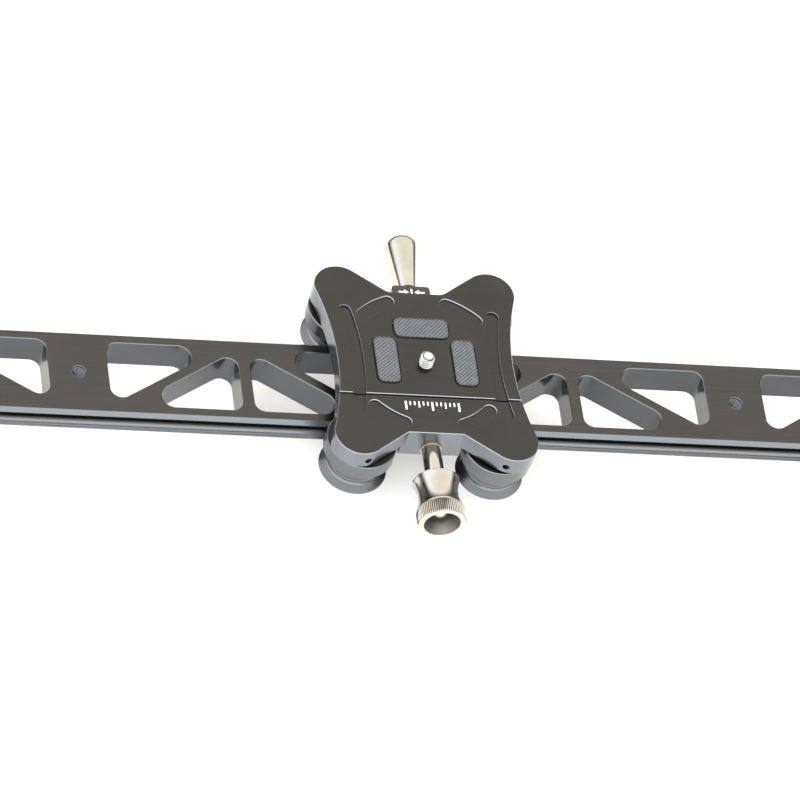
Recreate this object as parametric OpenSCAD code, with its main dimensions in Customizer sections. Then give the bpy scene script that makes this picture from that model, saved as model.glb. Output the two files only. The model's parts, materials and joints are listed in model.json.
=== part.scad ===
// Camera slider: a truss-cut flat rail with round side ridges, and a split carriage on four
// grooved wheels. A knurled knob closes the front jaw, and a tapered handle works a rail brake.
// +X runs along the rail, +Y to the rear, +Z up. The origin is the mouth of the centre tripod
// socket in the underside of the rail.

/* [Rail] */
// Distance between neighbouring tapped holes, one truss panel
panel_pitch = 150; // [140:1:170]
// Number of truss panels
panel_count = 4; // [2:2:4]
// Solid length beyond the last tapped hole
end_margin = 15; // [15:1:20]
// Thickness of the rail
rail_t = 15; // [14:0.5:16]
// Half width of the flat top face
rail_top_y = 21; // [20.8:0.1:21.2]
// Height of the 45 degree edge chamfer
rail_chamfer = 1.9; // [1.7:0.1:2]
// Radius of the round ridge that the wheels run on
ridge_r = 2.8; // [2.6:0.1:2.8]
// Distance of the ridge centre from the rail centreline
ridge_y = 22.6; // [22.4:0.1:22.6]
// Drop of the ridge centre below the top face
ridge_drop = 6.6; // [6.5:0.1:6.8]

/* [Truss openings] */
// Solid web each side of a tapped hole
hole_web = 13.4; // [12:0.1:15]
// Half height of the openings across the rail
opening_y = 17; // [15:0.5:17.5]
// Angle of the diagonal webs to the rail
diagonal_angle = 33; // [32:0.5:36]
// Width of the diagonal webs
diagonal_web = 4.6; // [4:0.1:6]
// Width of the cross bar in the middle of a panel
cross_bar = 5.3; // [4:0.1:8]
// Corner radius of the openings
opening_corner_r = 5; // [3:0.5:5]
// Radius of the sharp tips of the openings
opening_tip_r = 6; // [4:0.5:6]

/* [Carriage] */
// Rest position of the carriage along the rail
carriage_x = 2.3; // [-150:0.1:150]
// Height of the carriage top above the rail top
deck_h = 18.2; // [17.8:0.1:19]
// Thickness of the carriage plates
deck_t = 9.2; // [8.8:0.1:9.4]
// Distance of a lobe centre from the middle, along the rail
lobe_x = 34.4; // [34:0.1:35]
// Distance of a lobe centre from the middle, across the rail
lobe_y = 40.7; // [40:0.1:41]
// Radius of the lobe ends
lobe_r = 11.5; // [11:0.1:12]
// Half width of the carriage at its waist
waist_x = 40; // [39:0.5:41]
// Distance of the notch flats from the middle
notch_y = 38.9; // [38.5:0.1:39]
// Half length of the notch flats
notch_x = 12.4; // [12:0.1:13]
// Fillet radius in the rear notch
rear_notch_fillet = 6; // [2:0.5:8]
// Front edge of the rear plate
split_y = 18.3; // [18:0.1:19]
// Gap between the two plates with the jaw closed
split_gap = 0.9; // [0.6:0.1:1.2]

/* [Wheels] */
// Distance of a wheel axis from the middle, along the rail
wheel_x = 31; // [30.5:0.1:31.5]
// Distance of a wheel axis from the rail centreline
wheel_y = 36.4; // [36.3:0.05:36.6]
// Radius of the wheel barrel
barrel_r = 15.8; // [15.4:0.1:15.9]
// Radius of the bottom flange
flange_r = 15.25; // [15:0.05:15.4]
// Gap between the wheel groove and the ridge
groove_gap = 0.15; // [0.15:0.05:0.25]

/* [Knob and brake handle] */
// Height of the knob and handle axes above the rail top
screw_h = 6.9; // [6.8:0.1:7]
// Radius of the knurled ring
knurl_r = 10.75; // [10.5:0.05:11]
// Radius of the cup in the knob end
cup_r = 8; // [7:0.1:8.2]
// Radius of the handle at its free end
handle_r = 8.3; // [8:0.1:8.6]
// Radius of the handle at its base
handle_base_r = 4.5; // [4.2:0.1:4.6]

/* [Ends] */
// Thickness of the end brackets
bracket_t = 10; // [10:0.5:12]
// Height of the legs below the rail underside
leg_h = 22; // [18:1:30]
// Thickness of the rubber feet
foot_t = 4; // [3:0.5:6]

/* [Hidden] */
$fn = 64;

black = [0.09, 0.09, 0.10];
grey = [0.33, 0.34, 0.37];
silver = [0.80, 0.79, 0.75];
brass = [0.80, 0.66, 0.38];
steel = [0.62, 0.62, 0.64];
rubber = [0.18, 0.18, 0.20];

slip = 0.05;       // radial clearance of parts that slide or turn in a bore
snug = 0.02;       // radial clearance of parts that are pressed or screwed home
head_gap = 0.3;    // radial clearance round screw heads
screw_gap = 0.15;  // radial clearance round screw shanks in a drilled plate
edge = 0.4;        // small chamfer on turned edges
through = 1;       // cutters stand out of what they cut by this

// Rail
rail_half = panel_count * panel_pitch / 2 + end_margin;
ridge_z = rail_t - ridge_drop;
ridge_out = ridge_y + ridge_r;
foot_y = 18.5;                // half width of the underside
foot_bevel = 1;
web_y = 19.5;                 // half width below the ridge
shoulder_y = 20.6;            // half width beside the ridge
web_drop = 3.2;               // the web ends this far below the ridge's centre
shoulder_drop = 2.4;
shoulder_rise = 3;
quarter_inch_r = 2.55;        // 1/4-20 tapped hole, minor radius
three_eighths_r = 3.97;       // 3/8-16 tapped hole, minor radius
hole_chamfer = 0.7;
bracket_screw_y = 13;
bracket_screw_depth = 16;
m6_r = 3;
m3_r = 1.5;
m6_cap_hex_r = 2.9;           // corner radius of each hexagon socket
m6_button_hex_r = 2;
m3_hex_r = 0.85;
m2_hex_r = 1.15;
stud_hex_r = 2.5;

// Carriage heights, from the underside of the rail
deck_top = rail_t + deck_h;
deck_bottom = deck_top - deck_t;
block_bottom = rail_t + 2.4;   // centre block, clear of the rail
block_x = 14;
screw_z = rail_t + screw_h;
side_arc_r = (pow(waist_x - lobe_x, 2) + pow(lobe_y, 2) - pow(lobe_r, 2))
    / (2 * (lobe_r - waist_x + lobe_x));
side_arc_x = waist_x + side_arc_r;
front_edge_y = split_y + split_gap;

// Shallow decoration and pad recesses in the deck
groove_depth = 1;
groove_x = 31.1;      // where the long grooves cross the middle of the deck
groove_mid_r = side_arc_x - groove_x;
groove_half = 3;
groove_end_y = 27.3;
leaf_depth = 0.8;
leaf_mid_r = 36;
leaf_half = 3;
leaf_from = 44;
leaf_to = 68;
pad_l = 24.8;
pad_w = 10.4;
pad_corner = 3;
pad_recess = 1.2;
pad_margin = 0.5;
pad_proud = 1;
rear_pad_y = 18.85;
side_pad_x = 17.7;
side_pad_y = 0.4;

// Guide pins and camera stud
pin_x = 22;
pin_z = deck_top - 5;
pin_in = 14.5;
stud_r = 3.175;
stud_proud = 5;
stud_shank_r = 3;
stud_tip = 0.6;
stud_head_r = 5.5;
stud_head_t = 3;
stud_head_z = block_bottom + 1;

// Wheels, measured down from the rail top
wheel_top = rail_t + 8;
wheel_bottom = rail_t - 11.5;
race_out_r = 8.5;
race_in_r = 4.4;
race_w = 6;
race_inset = 0.6;
shield_r = 7;
shield_t = 0.25;
race_low = wheel_bottom + race_inset;
race_high = wheel_top - race_inset - race_w;
groove_r = ridge_r + groove_gap;
groove_mid = wheel_y - ridge_y;
lip_gap = 0.35;       // between the lip above the groove and the rail's widest edge
lip_r = wheel_y - rail_top_y - rail_chamfer - lip_gap;
flange_slope = 30;    // the flange falls outwards at this angle, tangent to the groove
flange_seat = groove_r - snug;
flank_gap = 0.25;     // between the wheel's 45 degree flank and the rail's chamfer
flank_rise = rail_t + rail_top_y - wheel_y + flank_gap * sqrt(2);
bead = 0.1;           // the barrel's lower edge stands out by this
wheel_edge = barrel_r - 2 * bead + flank_rise;
spacer_r = 4.2;
bolt_head_r = 4.6;
bolt_head_t = 2;
axle_top = deck_top - 2.7;
set_screw_z = deck_bottom + 3.7;
set_screw_l = 9;

// Knob, along -Y from the front face
ring_t = 0.9;
ring_r = 4.8;
spindle_r = 4.35;
knob_inner_y = 57;
knob_outer_y = 80;
cup_floor_y = 67;
knob_flange_r = 10.45;
neck_r = 8.9;
knob_neck_y = 65.1;
waist_arc_r = 19.5;
knurl_y = 73.3;
knurl_w = 6.2;
nut_r = 4.4;
nut_h = 8.5;
spindle_reach = 30;   // length of thread past the front face
screw_bore_end = 8;   // how near the tapped bore comes to the middle
spindle_tip = 4;      // how far the spindle stands into the cap nut

// Brake, along +Y behind the deck
brake_block_x = 8.75;
brake_block_end = 47;
brake_block_top = rail_t + 13.5;
brake_block_bottom = rail_t + 0.6;
tongue_x = 4.3;
tongue_gap = 0.2;
shoe_x = 12;
lining_t = 1.05;
shoe_front_y = ridge_out + 0.55 + lining_t;
shoe_back_y = shoe_front_y + 7;
shoe_low = rail_t - 9.6;
shoe_top = rail_t + 1.8;
tongue_back_y = 36.5;
tongue_top = rail_t + 10.8;
block_screw_x = 6.3;
block_screw_z = rail_t + 10.8;
block_screw_r = 1.25;
block_screw_head_r = 2.2;
block_screw_head_t = 2.4;
block_screw_head_y = brake_block_end - 0.6 - block_screw_head_t;   // the heads lie just below the face
block_screw_reach = 6;   // thread in the rear plate
screw_in_handle = 10;
handle_start_y = 48.6;
handle_wide_y = 72.3;
handle_end_y = 77.8;

// End brackets
bracket_y = 45;
leg_in_y = 31;
arch_y = 27;       // the plate steps down beside the rail from here outwards
arch_z = 8;
ear_z = 27;
saddle_z = 19;
screw_head_r = 5;
screw_head_t = 6;
screw_seat = 3.5;
foot_corner = 4;
buffer_len = 8;
buffer_r = 6;
buffer_stem_r = 2.5;
buffer_z = rail_t + 3.8;

// ---------- helpers ----------

function unit(v) = v / norm(v);
function left_normal(a, b) = [-unit(b - a)[1], unit(b - a)[0]];
function mirrored(points) = [for (i = [len(points) - 1:-1:0]) [-points[i][0], points[i][1]]];
function corner_centre(a, p, b, r) =
    let (n1 = left_normal(a, p), n2 = left_normal(p, b)) p + (n1 + n2) * r / (1 + n1 * n2);

// Convex outline, given counter-clockwise, with each corner rounded to its radius
module rounded_polygon(points, radii) {
    n = len(points);
    before = [for (i = [0:n - 1]) points[(i + n - 1) % n]];
    after = [for (i = [0:n - 1]) points[(i + 1) % n]];
    centres = [for (i = [0:n - 1]) corner_centre(before[i], points[i], after[i], radii[i])];
    polygon([for (i = [0:n - 1], k = [0, 1])
        centres[i] - radii[i] * (k == 0 ? left_normal(before[i], points[i])
                                        : left_normal(points[i], after[i]))]);
    for (i = [0:n - 1]) translate(centres[i]) circle(r = radii[i]);
}

module rounded_box(size_x, size_y, r) {
    rounded_polygon([[-size_x / 2, -size_y / 2], [size_x / 2, -size_y / 2],
                     [size_x / 2, size_y / 2], [-size_x / 2, size_y / 2]], [r, r, r, r]);
}

// Extrudes an outline drawn in (y, z) from x = from to x = to
module along_x(from, to) {
    translate([from, 0, 0]) rotate([90, 0, 90]) linear_extrude(to - from) children();
}

// Cylinder along X
module rod_x(r, from, to, y, z) {
    translate([from, y, z]) rotate([0, 90, 0]) cylinder(r = r, h = to - from);
}

// Cylinder along +Y from y = from to y = to
module rod_y(r, from, to, x, z) {
    translate([x, from, z]) rotate([-90, 0, 0]) cylinder(r = r, h = to - from);
}

// Turns an outline drawn in (radius, distance) about the Y axis at the screw height.
// side is 1 to run towards the rear and -1 to run towards the front.
module turned_y(side) {
    translate([0, 0, screw_z]) rotate([-side * 90, 0, 0]) rotate_extrude() children();
}

module tube(r_out, r_in, z, h) {
    translate([0, 0, z]) difference() {
        cylinder(r = r_out, h = h);
        translate([0, 0, -1]) cylinder(r = r_in, h = h + 2);
    }
}

// Band that follows an arc about the origin of its children, with round ends
module arc_band(mid_r, half, from, to) {
    reach = mid_r + half + 20;
    intersection() {
        difference() {
            circle(r = mid_r + half);
            circle(r = mid_r - half);
        }
        polygon([[0, 0], reach * [cos(from), sin(from)], reach * [cos(to), sin(to)]]);
    }
    for (a = [from, to]) translate(mid_r * [cos(a), sin(a)]) circle(r = half);
}

module at_carriage() {
    translate([carriage_x, 0, 0]) children();
}

// Places one wheel's parts. side_x is -1 for left, side_y is 1 for rear.
module at_wheel(side_x, side_y) {
    at_carriage() translate([side_x * wheel_x, side_y * wheel_y, 0]) children();
}

// ---------- rail ----------

module rail_section() {
    half = [[foot_y, 0], [web_y, foot_bevel], [web_y, ridge_z - web_drop],
            [shoulder_y, ridge_z - shoulder_drop], [shoulder_y, ridge_z + shoulder_rise],
            [rail_top_y + rail_chamfer, rail_t - rail_chamfer], [rail_top_y, rail_t]];
    polygon(concat(half, mirrored(half)));
    for (side = [-1, 1]) translate([side * ridge_y, ridge_z]) circle(r = ridge_r);
}

// The two triangular openings between a tapped hole and the middle of its panel
module half_panel() {
    rise = tan(diagonal_angle);
    bar_x = panel_pitch / 2 - cross_bar / 2;
    low_x = hole_web + diagonal_web / sin(diagonal_angle);
    rounded_polygon([[hole_web, -opening_y], [hole_web + 2 * opening_y / rise, opening_y],
                     [hole_web, opening_y]],
                    [opening_corner_r, opening_tip_r, opening_corner_r]);
    rounded_polygon([[low_x, -opening_y], [bar_x, -opening_y],
                     [bar_x, (bar_x - low_x) * rise - opening_y]],
                    [opening_tip_r, opening_corner_r, opening_corner_r]);
}

module tapped_hole(r, x) {
    translate([x, 0, -1]) cylinder(r = r, h = rail_t + 2);
    translate([x, 0, rail_t - hole_chamfer])
        cylinder(r1 = r, r2 = r + 2 * hole_chamfer, h = 2 * hole_chamfer);
}

module rail() color(black) difference() {
    along_x(-rail_half, rail_half) rail_section();
    for (i = [0:panel_count - 1]) translate([(i - panel_count / 2) * panel_pitch, 0, -1])
        linear_extrude(rail_t + 2) {
            half_panel();
            translate([panel_pitch, 0]) mirror([1, 0]) half_panel();
        }
    for (i = [1:panel_count / 2], side = [-1, 1])
        tapped_hole(quarter_inch_r, side * i * panel_pitch);
    tapped_hole(three_eighths_r, 0);
    for (end = [-1, 1], side = [-1, 1])
        rod_x(m6_r + snug, end * rail_half - bracket_screw_depth,
              end * rail_half + bracket_screw_depth, side * bracket_screw_y, rail_t / 2);
}

// ---------- rail ends ----------

module bracket_outline() {
    half = [[arch_y, -arch_z], [leg_in_y, -arch_z - 5], [leg_in_y, -leg_h], [bracket_y, -leg_h],
            [bracket_y, ear_z - 9], [bracket_y - 6, ear_z], [arch_y, ear_z],
            [arch_y - 6, saddle_z]];
    polygon(concat(half, mirrored(half)));
}

module end_bracket(side) color(black) difference() {
    inner = side < 0 ? -rail_half - bracket_t : rail_half;
    along_x(inner, inner + bracket_t) bracket_outline();
    for (y = [-bracket_screw_y, bracket_screw_y]) {
        rod_x(m6_r + screw_gap, inner - through, inner + bracket_t + through, y, rail_t / 2);
        rod_x(screw_head_r + head_gap, side > 0 ? inner + screw_seat : inner - through,
              side > 0 ? inner + bracket_t + through : inner + bracket_t - screw_seat, y, rail_t / 2);
    }
    for (y = [-wheel_y, wheel_y])
        rod_x(buffer_stem_r + snug, inner - through, inner + bracket_t + through, y, buffer_z);
}

module end_bracket_left() end_bracket(-1);
module end_bracket_right() end_bracket(1);

module bracket_screw() {
    difference() {
        union() {
            rod_x(m6_r, -bracket_screw_depth + 1, screw_seat + 0.1, 0, 0);
            rod_x(screw_head_r, screw_seat, screw_seat + screw_head_t, 0, 0);
        }
        translate([screw_seat + screw_head_t / 2, 0, 0]) rotate([0, 90, 0])
            cylinder(r = m6_cap_hex_r, h = screw_head_t, $fn = 6);
    }
}

module bracket_screws() color(steel)
    for (end = [0, 1], y = [-bracket_screw_y, bracket_screw_y]) mirror([end, 0, 0])
        translate([rail_half, y, rail_t / 2]) bracket_screw();

module rubber_feet() color(rubber)
    for (end = [-1, 1], side = [-1, 1])
        translate([end * (rail_half + bracket_t / 2), side * (bracket_y + leg_in_y) / 2,
                   -leg_h - foot_t])
            linear_extrude(foot_t) rounded_box(bracket_t + 6, bracket_y - leg_in_y + 4, foot_corner);

module end_buffers() color(rubber)
    for (end = [0, 1], y = [-wheel_y, wheel_y]) mirror([end, 0, 0]) {
        rod_x(buffer_r, rail_half - buffer_len, rail_half, y, buffer_z);
        rod_x(buffer_stem_r, rail_half - 1, rail_half + bracket_t - 2, y, buffer_z);
    }

// ---------- carriage plates ----------

// Whole carriage outline before it is split into the two plates
module deck_outline() {
    lobe = [lobe_x, lobe_y];
    to_lobe = lobe - [notch_x, notch_y];
    slope = atan2(to_lobe[1], to_lobe[0]) + asin(lobe_r / norm(to_lobe));
    onto_lobe = lobe + lobe_r * [-sin(slope), cos(slope)];
    off_lobe = lobe + lobe_r * unit([side_arc_x, 0] - lobe);
    rear_right = [off_lobe, lobe, onto_lobe, [notch_x, notch_y]];
    rear = concat(rear_right, mirrored(rear_right));
    front = [for (i = [len(rear) - 1:-1:0]) [rear[i][0], -rear[i][1]]];
    difference() {
        union() {
            polygon(concat(rear, front));
            for (sx = [-1, 1], sy = [-1, 1]) translate([sx * lobe_x, sy * lobe_y])
                circle(r = lobe_r);
            rear_notch_fillets(slope);
        }
        for (side = [-1, 1]) translate([side * side_arc_x, 0]) circle(r = side_arc_r, $fn = 128);
    }
}

// Rounds the two inner corners of the rear notch, where a diagonal rises at the given slope
module rear_notch_fillets(slope) {
    back = rear_notch_fillet * tan(slope / 2);
    corner = [notch_x, notch_y];
    centre = corner + [-back, rear_notch_fillet];
    for (side = [0, 1]) mirror([side, 0]) difference() {
        polygon([corner, corner + back * [cos(slope), sin(slope)], centre, corner - [back, 0],
                 corner - [back, 1], corner - [0, 1]]);
        translate(centre) circle(r = rear_notch_fillet);
    }
}

module deck_slab(y_from, y_to) {
    translate([0, 0, deck_bottom]) linear_extrude(deck_t) intersection() {
        deck_outline();
        translate([-100, y_from]) square([200, y_to - y_from]);
    }
}

module deck_decoration() {
    for (side = [0, 1]) mirror([side, 0, 0]) translate([side_arc_x, 0, deck_top - groove_depth])
        linear_extrude(groove_depth + 1) {
            sweep = asin(groove_end_y / groove_mid_r);
            arc_band(groove_mid_r, groove_half, 180 - sweep, 180 + sweep, $fn = 128);
        }
    for (side = [0, 1], row = [0, 1]) mirror([side, 0, 0]) mirror([0, row, 0])
        translate([0, 0, deck_top - leaf_depth]) linear_extrude(leaf_depth + 1)
            arc_band(leaf_mid_r, leaf_half, leaf_from, leaf_to);
}

module pad_places(which) {
    if (which == "rear") translate([0, rear_pad_y, 0]) rotate(90) children();
    if (which == "left") translate([-side_pad_x, side_pad_y, 0]) children();
    if (which == "right") translate([side_pad_x, side_pad_y, 0]) children();
}

module pad_recesses() {
    for (which = ["rear", "left", "right"]) pad_places(which)
        translate([0, 0, deck_top - pad_recess]) linear_extrude(pad_recess + 1)
            rounded_box(pad_w + 2 * pad_margin, pad_l + 2 * pad_margin, pad_corner + pad_margin);
}

// Blind axle hole and the set screw hole that reaches it, in one lobe
module axle_holes(side_y) {
    for (side_x = [-1, 1]) {
        translate([side_x * wheel_x, side_y * wheel_y, deck_bottom - 1])
            cylinder(r = m6_r + snug, h = axle_top - deck_bottom + 1);
        rod_y(m3_r + snug, side_y > 0 ? wheel_y : -lobe_y - 15,
              side_y > 0 ? lobe_y + 15 : -wheel_y, side_x * wheel_x, set_screw_z);
    }
}

module rear_plate() color(grey) at_carriage() difference() {
    union() {
        deck_slab(-split_y, 60);
        translate([-block_x, -split_y, block_bottom])
            cube([2 * block_x, split_y + notch_y, deck_bottom - block_bottom + 1]);
    }
    deck_decoration();
    pad_recesses();
    axle_holes(1);
    for (x = [-pin_x, pin_x]) rod_y(m6_r + snug, -split_y - 1, -split_y + pin_in, x, pin_z);
    // camera stud, fitted from below
    translate([0, 0, block_bottom - 1])
        cylinder(r = stud_shank_r + snug, h = deck_top - block_bottom + 2);
    translate([0, 0, block_bottom - 1])
        cylinder(r = stud_head_r + head_gap, h = stud_head_z + stud_head_t + 1 - block_bottom);
    // thread that the knob spindle screws into
    rod_y(m6_r + slip, -split_y - 1, -screw_bore_end, 0, screw_z);
    // pocket for the tongue of the brake shoe
    translate([-tongue_x - tongue_gap, shoe_front_y - 2, block_bottom - 1])
        cube([2 * (tongue_x + tongue_gap), notch_y - shoe_front_y + 3,
              tongue_top + 2 * tongue_gap - block_bottom + 1]);
    for (x = [-block_screw_x, block_screw_x])
        rod_y(block_screw_r + snug, notch_y - block_screw_reach - 1, notch_y + 1, x, block_screw_z);
}

module front_plate() color(grey) at_carriage() difference() {
    union() {
        deck_slab(-60, -front_edge_y);
        translate([-block_x, -notch_y, block_bottom])
            cube([2 * block_x, notch_y - front_edge_y, deck_bottom - block_bottom + 1]);
    }
    deck_decoration();
    axle_holes(-1);
    for (x = [-pin_x, pin_x])
        rod_y(m6_r + slip, -front_edge_y - pin_in, -front_edge_y + 1, x, pin_z);
    rod_y(m6_r + slip, -notch_y - 1, -front_edge_y + 1, 0, screw_z);
}

module guide_pins() color(steel) at_carriage()
    for (x = [-pin_x, pin_x])
        rod_y(m6_r, -front_edge_y - pin_in + 1, -split_y + pin_in - 0.5, x, pin_z);

module pad(which) color(rubber) at_carriage() pad_places(which)
    translate([0, 0, deck_top - pad_recess]) linear_extrude(pad_recess + pad_proud)
        rounded_box(pad_w, pad_l, pad_corner);

module pad_rear() pad("rear");
module pad_left() pad("left");
module pad_right() pad("right");

module camera_stud() color(silver) at_carriage() {
    stud_base = deck_top + slip;
    stud_top = deck_top + stud_proud;
    translate([0, 0, stud_head_z]) difference() {
        cylinder(r = stud_head_r, h = stud_head_t);
        translate([0, 0, -1]) cylinder(r = stud_hex_r, h = stud_head_t, $fn = 6);
    }
    translate([0, 0, stud_head_z + 1]) cylinder(r = stud_shank_r, h = stud_base - stud_head_z);
    translate([0, 0, stud_base]) cylinder(r = stud_r, h = stud_top - stud_tip - stud_base);
    translate([0, 0, stud_top - stud_tip]) cylinder(r1 = stud_r, r2 = stud_r - stud_tip, h = stud_tip);
}

module set_screws(side_y) color(steel) at_carriage()
    for (side_x = [-1, 1])
        translate([side_x * wheel_x, side_y * (wheel_y + m6_r + slip), set_screw_z])
            rotate([-side_y * 90, 0, 0]) difference() {
                cylinder(r = m3_r, h = set_screw_l);
                translate([0, 0, set_screw_l - 2]) cylinder(r = m3_hex_r, h = 3, $fn = 6);
            }

module set_screws_rear() set_screws(1);
module set_screws_front() set_screws(-1);

// ---------- wheels ----------

// Half section of a wheel: barrel above, round groove for the rail ridge, flange below
module wheel_section() {
    through_r = race_out_r - 1.1;
    rim_r = 9.9;
    seat = [groove_mid, ridge_z] - flange_seat * [sin(flange_slope), cos(flange_slope)];
    difference() {
        polygon([[through_r, wheel_bottom], [flange_r - edge, wheel_bottom],
                 [flange_r, wheel_bottom + edge],
                 [flange_r, seat[1] - (flange_r - seat[0]) * tan(flange_slope)],
                 seat, [lip_r, ridge_z + 1],
                 [lip_r, lip_r + flank_rise], [barrel_r - 2 * bead, wheel_edge],
                 [barrel_r + bead, wheel_edge + edge], [barrel_r + bead, wheel_edge + 2 * edge],
                 [barrel_r, wheel_edge + 3 * edge], [barrel_r - 2 * bead, wheel_top - 2 * edge],
                 [barrel_r - 2 * edge, wheel_top], [rim_r, wheel_top],
                 [rim_r - edge, wheel_top - edge], [through_r, wheel_top - edge]]);
        translate([groove_mid, ridge_z]) circle(r = groove_r);
    }
}

module wheel(side_x, side_y) color(grey) at_wheel(side_x, side_y) difference() {
    rotate_extrude() wheel_section();
    translate([0, 0, race_low - 5]) cylinder(r = race_out_r + snug, h = race_w + 5);
    translate([0, 0, race_high]) cylinder(r = race_out_r + snug, h = race_w + 5);
}

module outer_races(side_x, side_y) color(silver) at_wheel(side_x, side_y)
    for (z = [race_low, race_high]) {
        tube(race_out_r, shield_r - 0.1, z, race_w);
        for (dz = [shield_t, race_w - 2 * shield_t])
            tube(shield_r, race_in_r + 0.3, z + dz, shield_t);
    }

module inner_races(side_x, side_y) color(silver) at_wheel(side_x, side_y)
    for (z = [race_low, race_high]) tube(race_in_r, m6_r + snug, z, race_w);

module spacers(side_x, side_y) color(steel) at_wheel(side_x, side_y) {
    for (gap = [[race_low + race_w, race_high], [race_high + race_w, deck_bottom]])
        tube(spacer_r, m6_r + snug, gap[0], gap[1] - gap[0]);
}

module axle_bolt(side_x, side_y) color(steel) at_wheel(side_x, side_y) difference() {
    union() {
        translate([0, 0, race_low - 1]) cylinder(r = m6_r, h = axle_top - race_low + 0.9);
        translate([0, 0, race_low - bolt_head_t]) cylinder(r = bolt_head_r, h = bolt_head_t);
    }
    translate([0, 0, race_low - bolt_head_t - 1]) cylinder(r = m6_button_hex_r, h = 2.6, $fn = 6);
}

module wheel_rear_left() wheel(-1, 1);
module wheel_rear_right() wheel(1, 1);
module wheel_front_left() wheel(-1, -1);
module wheel_front_right() wheel(1, -1);
module outer_races_rear_left() outer_races(-1, 1);
module outer_races_rear_right() outer_races(1, 1);
module outer_races_front_left() outer_races(-1, -1);
module outer_races_front_right() outer_races(1, -1);
module inner_races_rear_left() inner_races(-1, 1);
module inner_races_rear_right() inner_races(1, 1);
module inner_races_front_left() inner_races(-1, -1);
module inner_races_front_right() inner_races(1, -1);
module spacers_rear_left() spacers(-1, 1);
module spacers_rear_right() spacers(1, 1);
module spacers_front_left() spacers(-1, -1);
module spacers_front_right() spacers(1, -1);
module axle_bolt_rear_left() axle_bolt(-1, 1);
module axle_bolt_rear_right() axle_bolt(1, 1);
module axle_bolt_front_left() axle_bolt(-1, -1);
module axle_bolt_front_right() axle_bolt(1, -1);

// ---------- jaw knob ----------

module thrust_ring() color(brass) at_carriage() translate([0, -notch_y - ring_t, screw_z])
    rotate([-90, 0, 0]) difference() {
        cylinder(r = ring_r, h = ring_t);
        translate([0, 0, -1]) cylinder(r = m6_r + slip, h = ring_t + 2);
    }

module knob_spindle() color(silver) at_carriage() {
    rod_y(m6_r, -notch_y - 1, -notch_y - 1 + spindle_reach, 0, screw_z);
    rod_y(spindle_r, -knob_inner_y, -notch_y - ring_t - snug, 0, screw_z);
    rod_y(m6_r, -cup_floor_y - spindle_tip, -knob_inner_y + 1, 0, screw_z);
}

module knob_head() color(silver) at_carriage() difference() {
    turned_y(-1) difference() {
        polygon([[0, knob_inner_y], [knob_flange_r - edge, knob_inner_y],
                 [knob_flange_r, knob_inner_y + edge], [knob_flange_r, knurl_y - edge],
                 [knurl_r, knurl_y], [knurl_r, knurl_y + knurl_w],
                 [knurl_r - edge, knob_outer_y], [0, knob_outer_y]]);
        translate([neck_r + waist_arc_r, knob_neck_y]) circle(r = waist_arc_r, $fn = 128);
        translate([0, cup_floor_y]) square([cup_r, knob_outer_y]);
    }
    rod_y(m6_r + snug, -cup_floor_y - 1, -knob_inner_y + 1, 0, screw_z);
}

module knob_cap_nut() color(silver) at_carriage() difference() {
    turned_y(-1) translate([0, cup_floor_y]) {
        square([nut_r, nut_h - nut_r]);
        intersection() {
            square([nut_r, nut_h]);
            translate([0, nut_h - nut_r]) circle(r = nut_r);
        }
    }
    rod_y(m6_r + snug, -cup_floor_y - spindle_tip - slip, -cup_floor_y + 1, 0, screw_z);
}

// ---------- brake ----------

module brake_block() color(black) at_carriage() difference() {
    depth = brake_block_end - notch_y;
    translate([0, notch_y, brake_block_bottom])
        linear_extrude(brake_block_top - brake_block_bottom) intersection() {
            rounded_box(2 * brake_block_x, 2 * depth, 1.5);
            translate([-brake_block_x, 0]) square([2 * brake_block_x, depth]);
        }
    rod_y(m6_r + slip, notch_y - 1, brake_block_end + 1, 0, screw_z);
    for (x = [-block_screw_x, block_screw_x]) {
        rod_y(block_screw_r + screw_gap, notch_y - through, brake_block_end + through,
              x, block_screw_z);
        rod_y(block_screw_head_r + screw_gap, block_screw_head_y,
              brake_block_end + through, x, block_screw_z);
    }
}

module brake_block_screws() color(steel) at_carriage()
    for (x = [-block_screw_x, block_screw_x]) difference() {
        union() {
            rod_y(block_screw_r, notch_y - block_screw_reach, block_screw_head_y + 0.1,
                  x, block_screw_z);
            rod_y(block_screw_head_r, block_screw_head_y,
                  block_screw_head_y + block_screw_head_t, x, block_screw_z);
        }
        translate([x, block_screw_head_y + 1, block_screw_z]) rotate([-90, 0, 0])
            cylinder(r = m2_hex_r, h = block_screw_head_t, $fn = 6);
    }

module brake_shoe() color(grey) at_carriage() difference() {
    union() {
        translate([-tongue_x, shoe_front_y, shoe_low])
            cube([2 * tongue_x, tongue_back_y - shoe_front_y, tongue_top - shoe_low]);
        translate([-shoe_x, shoe_front_y, shoe_low])
            cube([2 * shoe_x, shoe_back_y - shoe_front_y, shoe_top - shoe_low]);
    }
    rod_y(m6_r + slip, shoe_back_y - 3.5, tongue_back_y + 1, 0, screw_z);
}

module brake_lining() color(rubber) at_carriage()
    translate([-shoe_x, shoe_front_y - lining_t, ridge_z - 2.6]) cube([2 * shoe_x, lining_t, 5.2]);

module brake_screw() color(steel) at_carriage()
    rod_y(m6_r, shoe_back_y - 3.2, handle_start_y + screw_in_handle, 0, screw_z);

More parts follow.
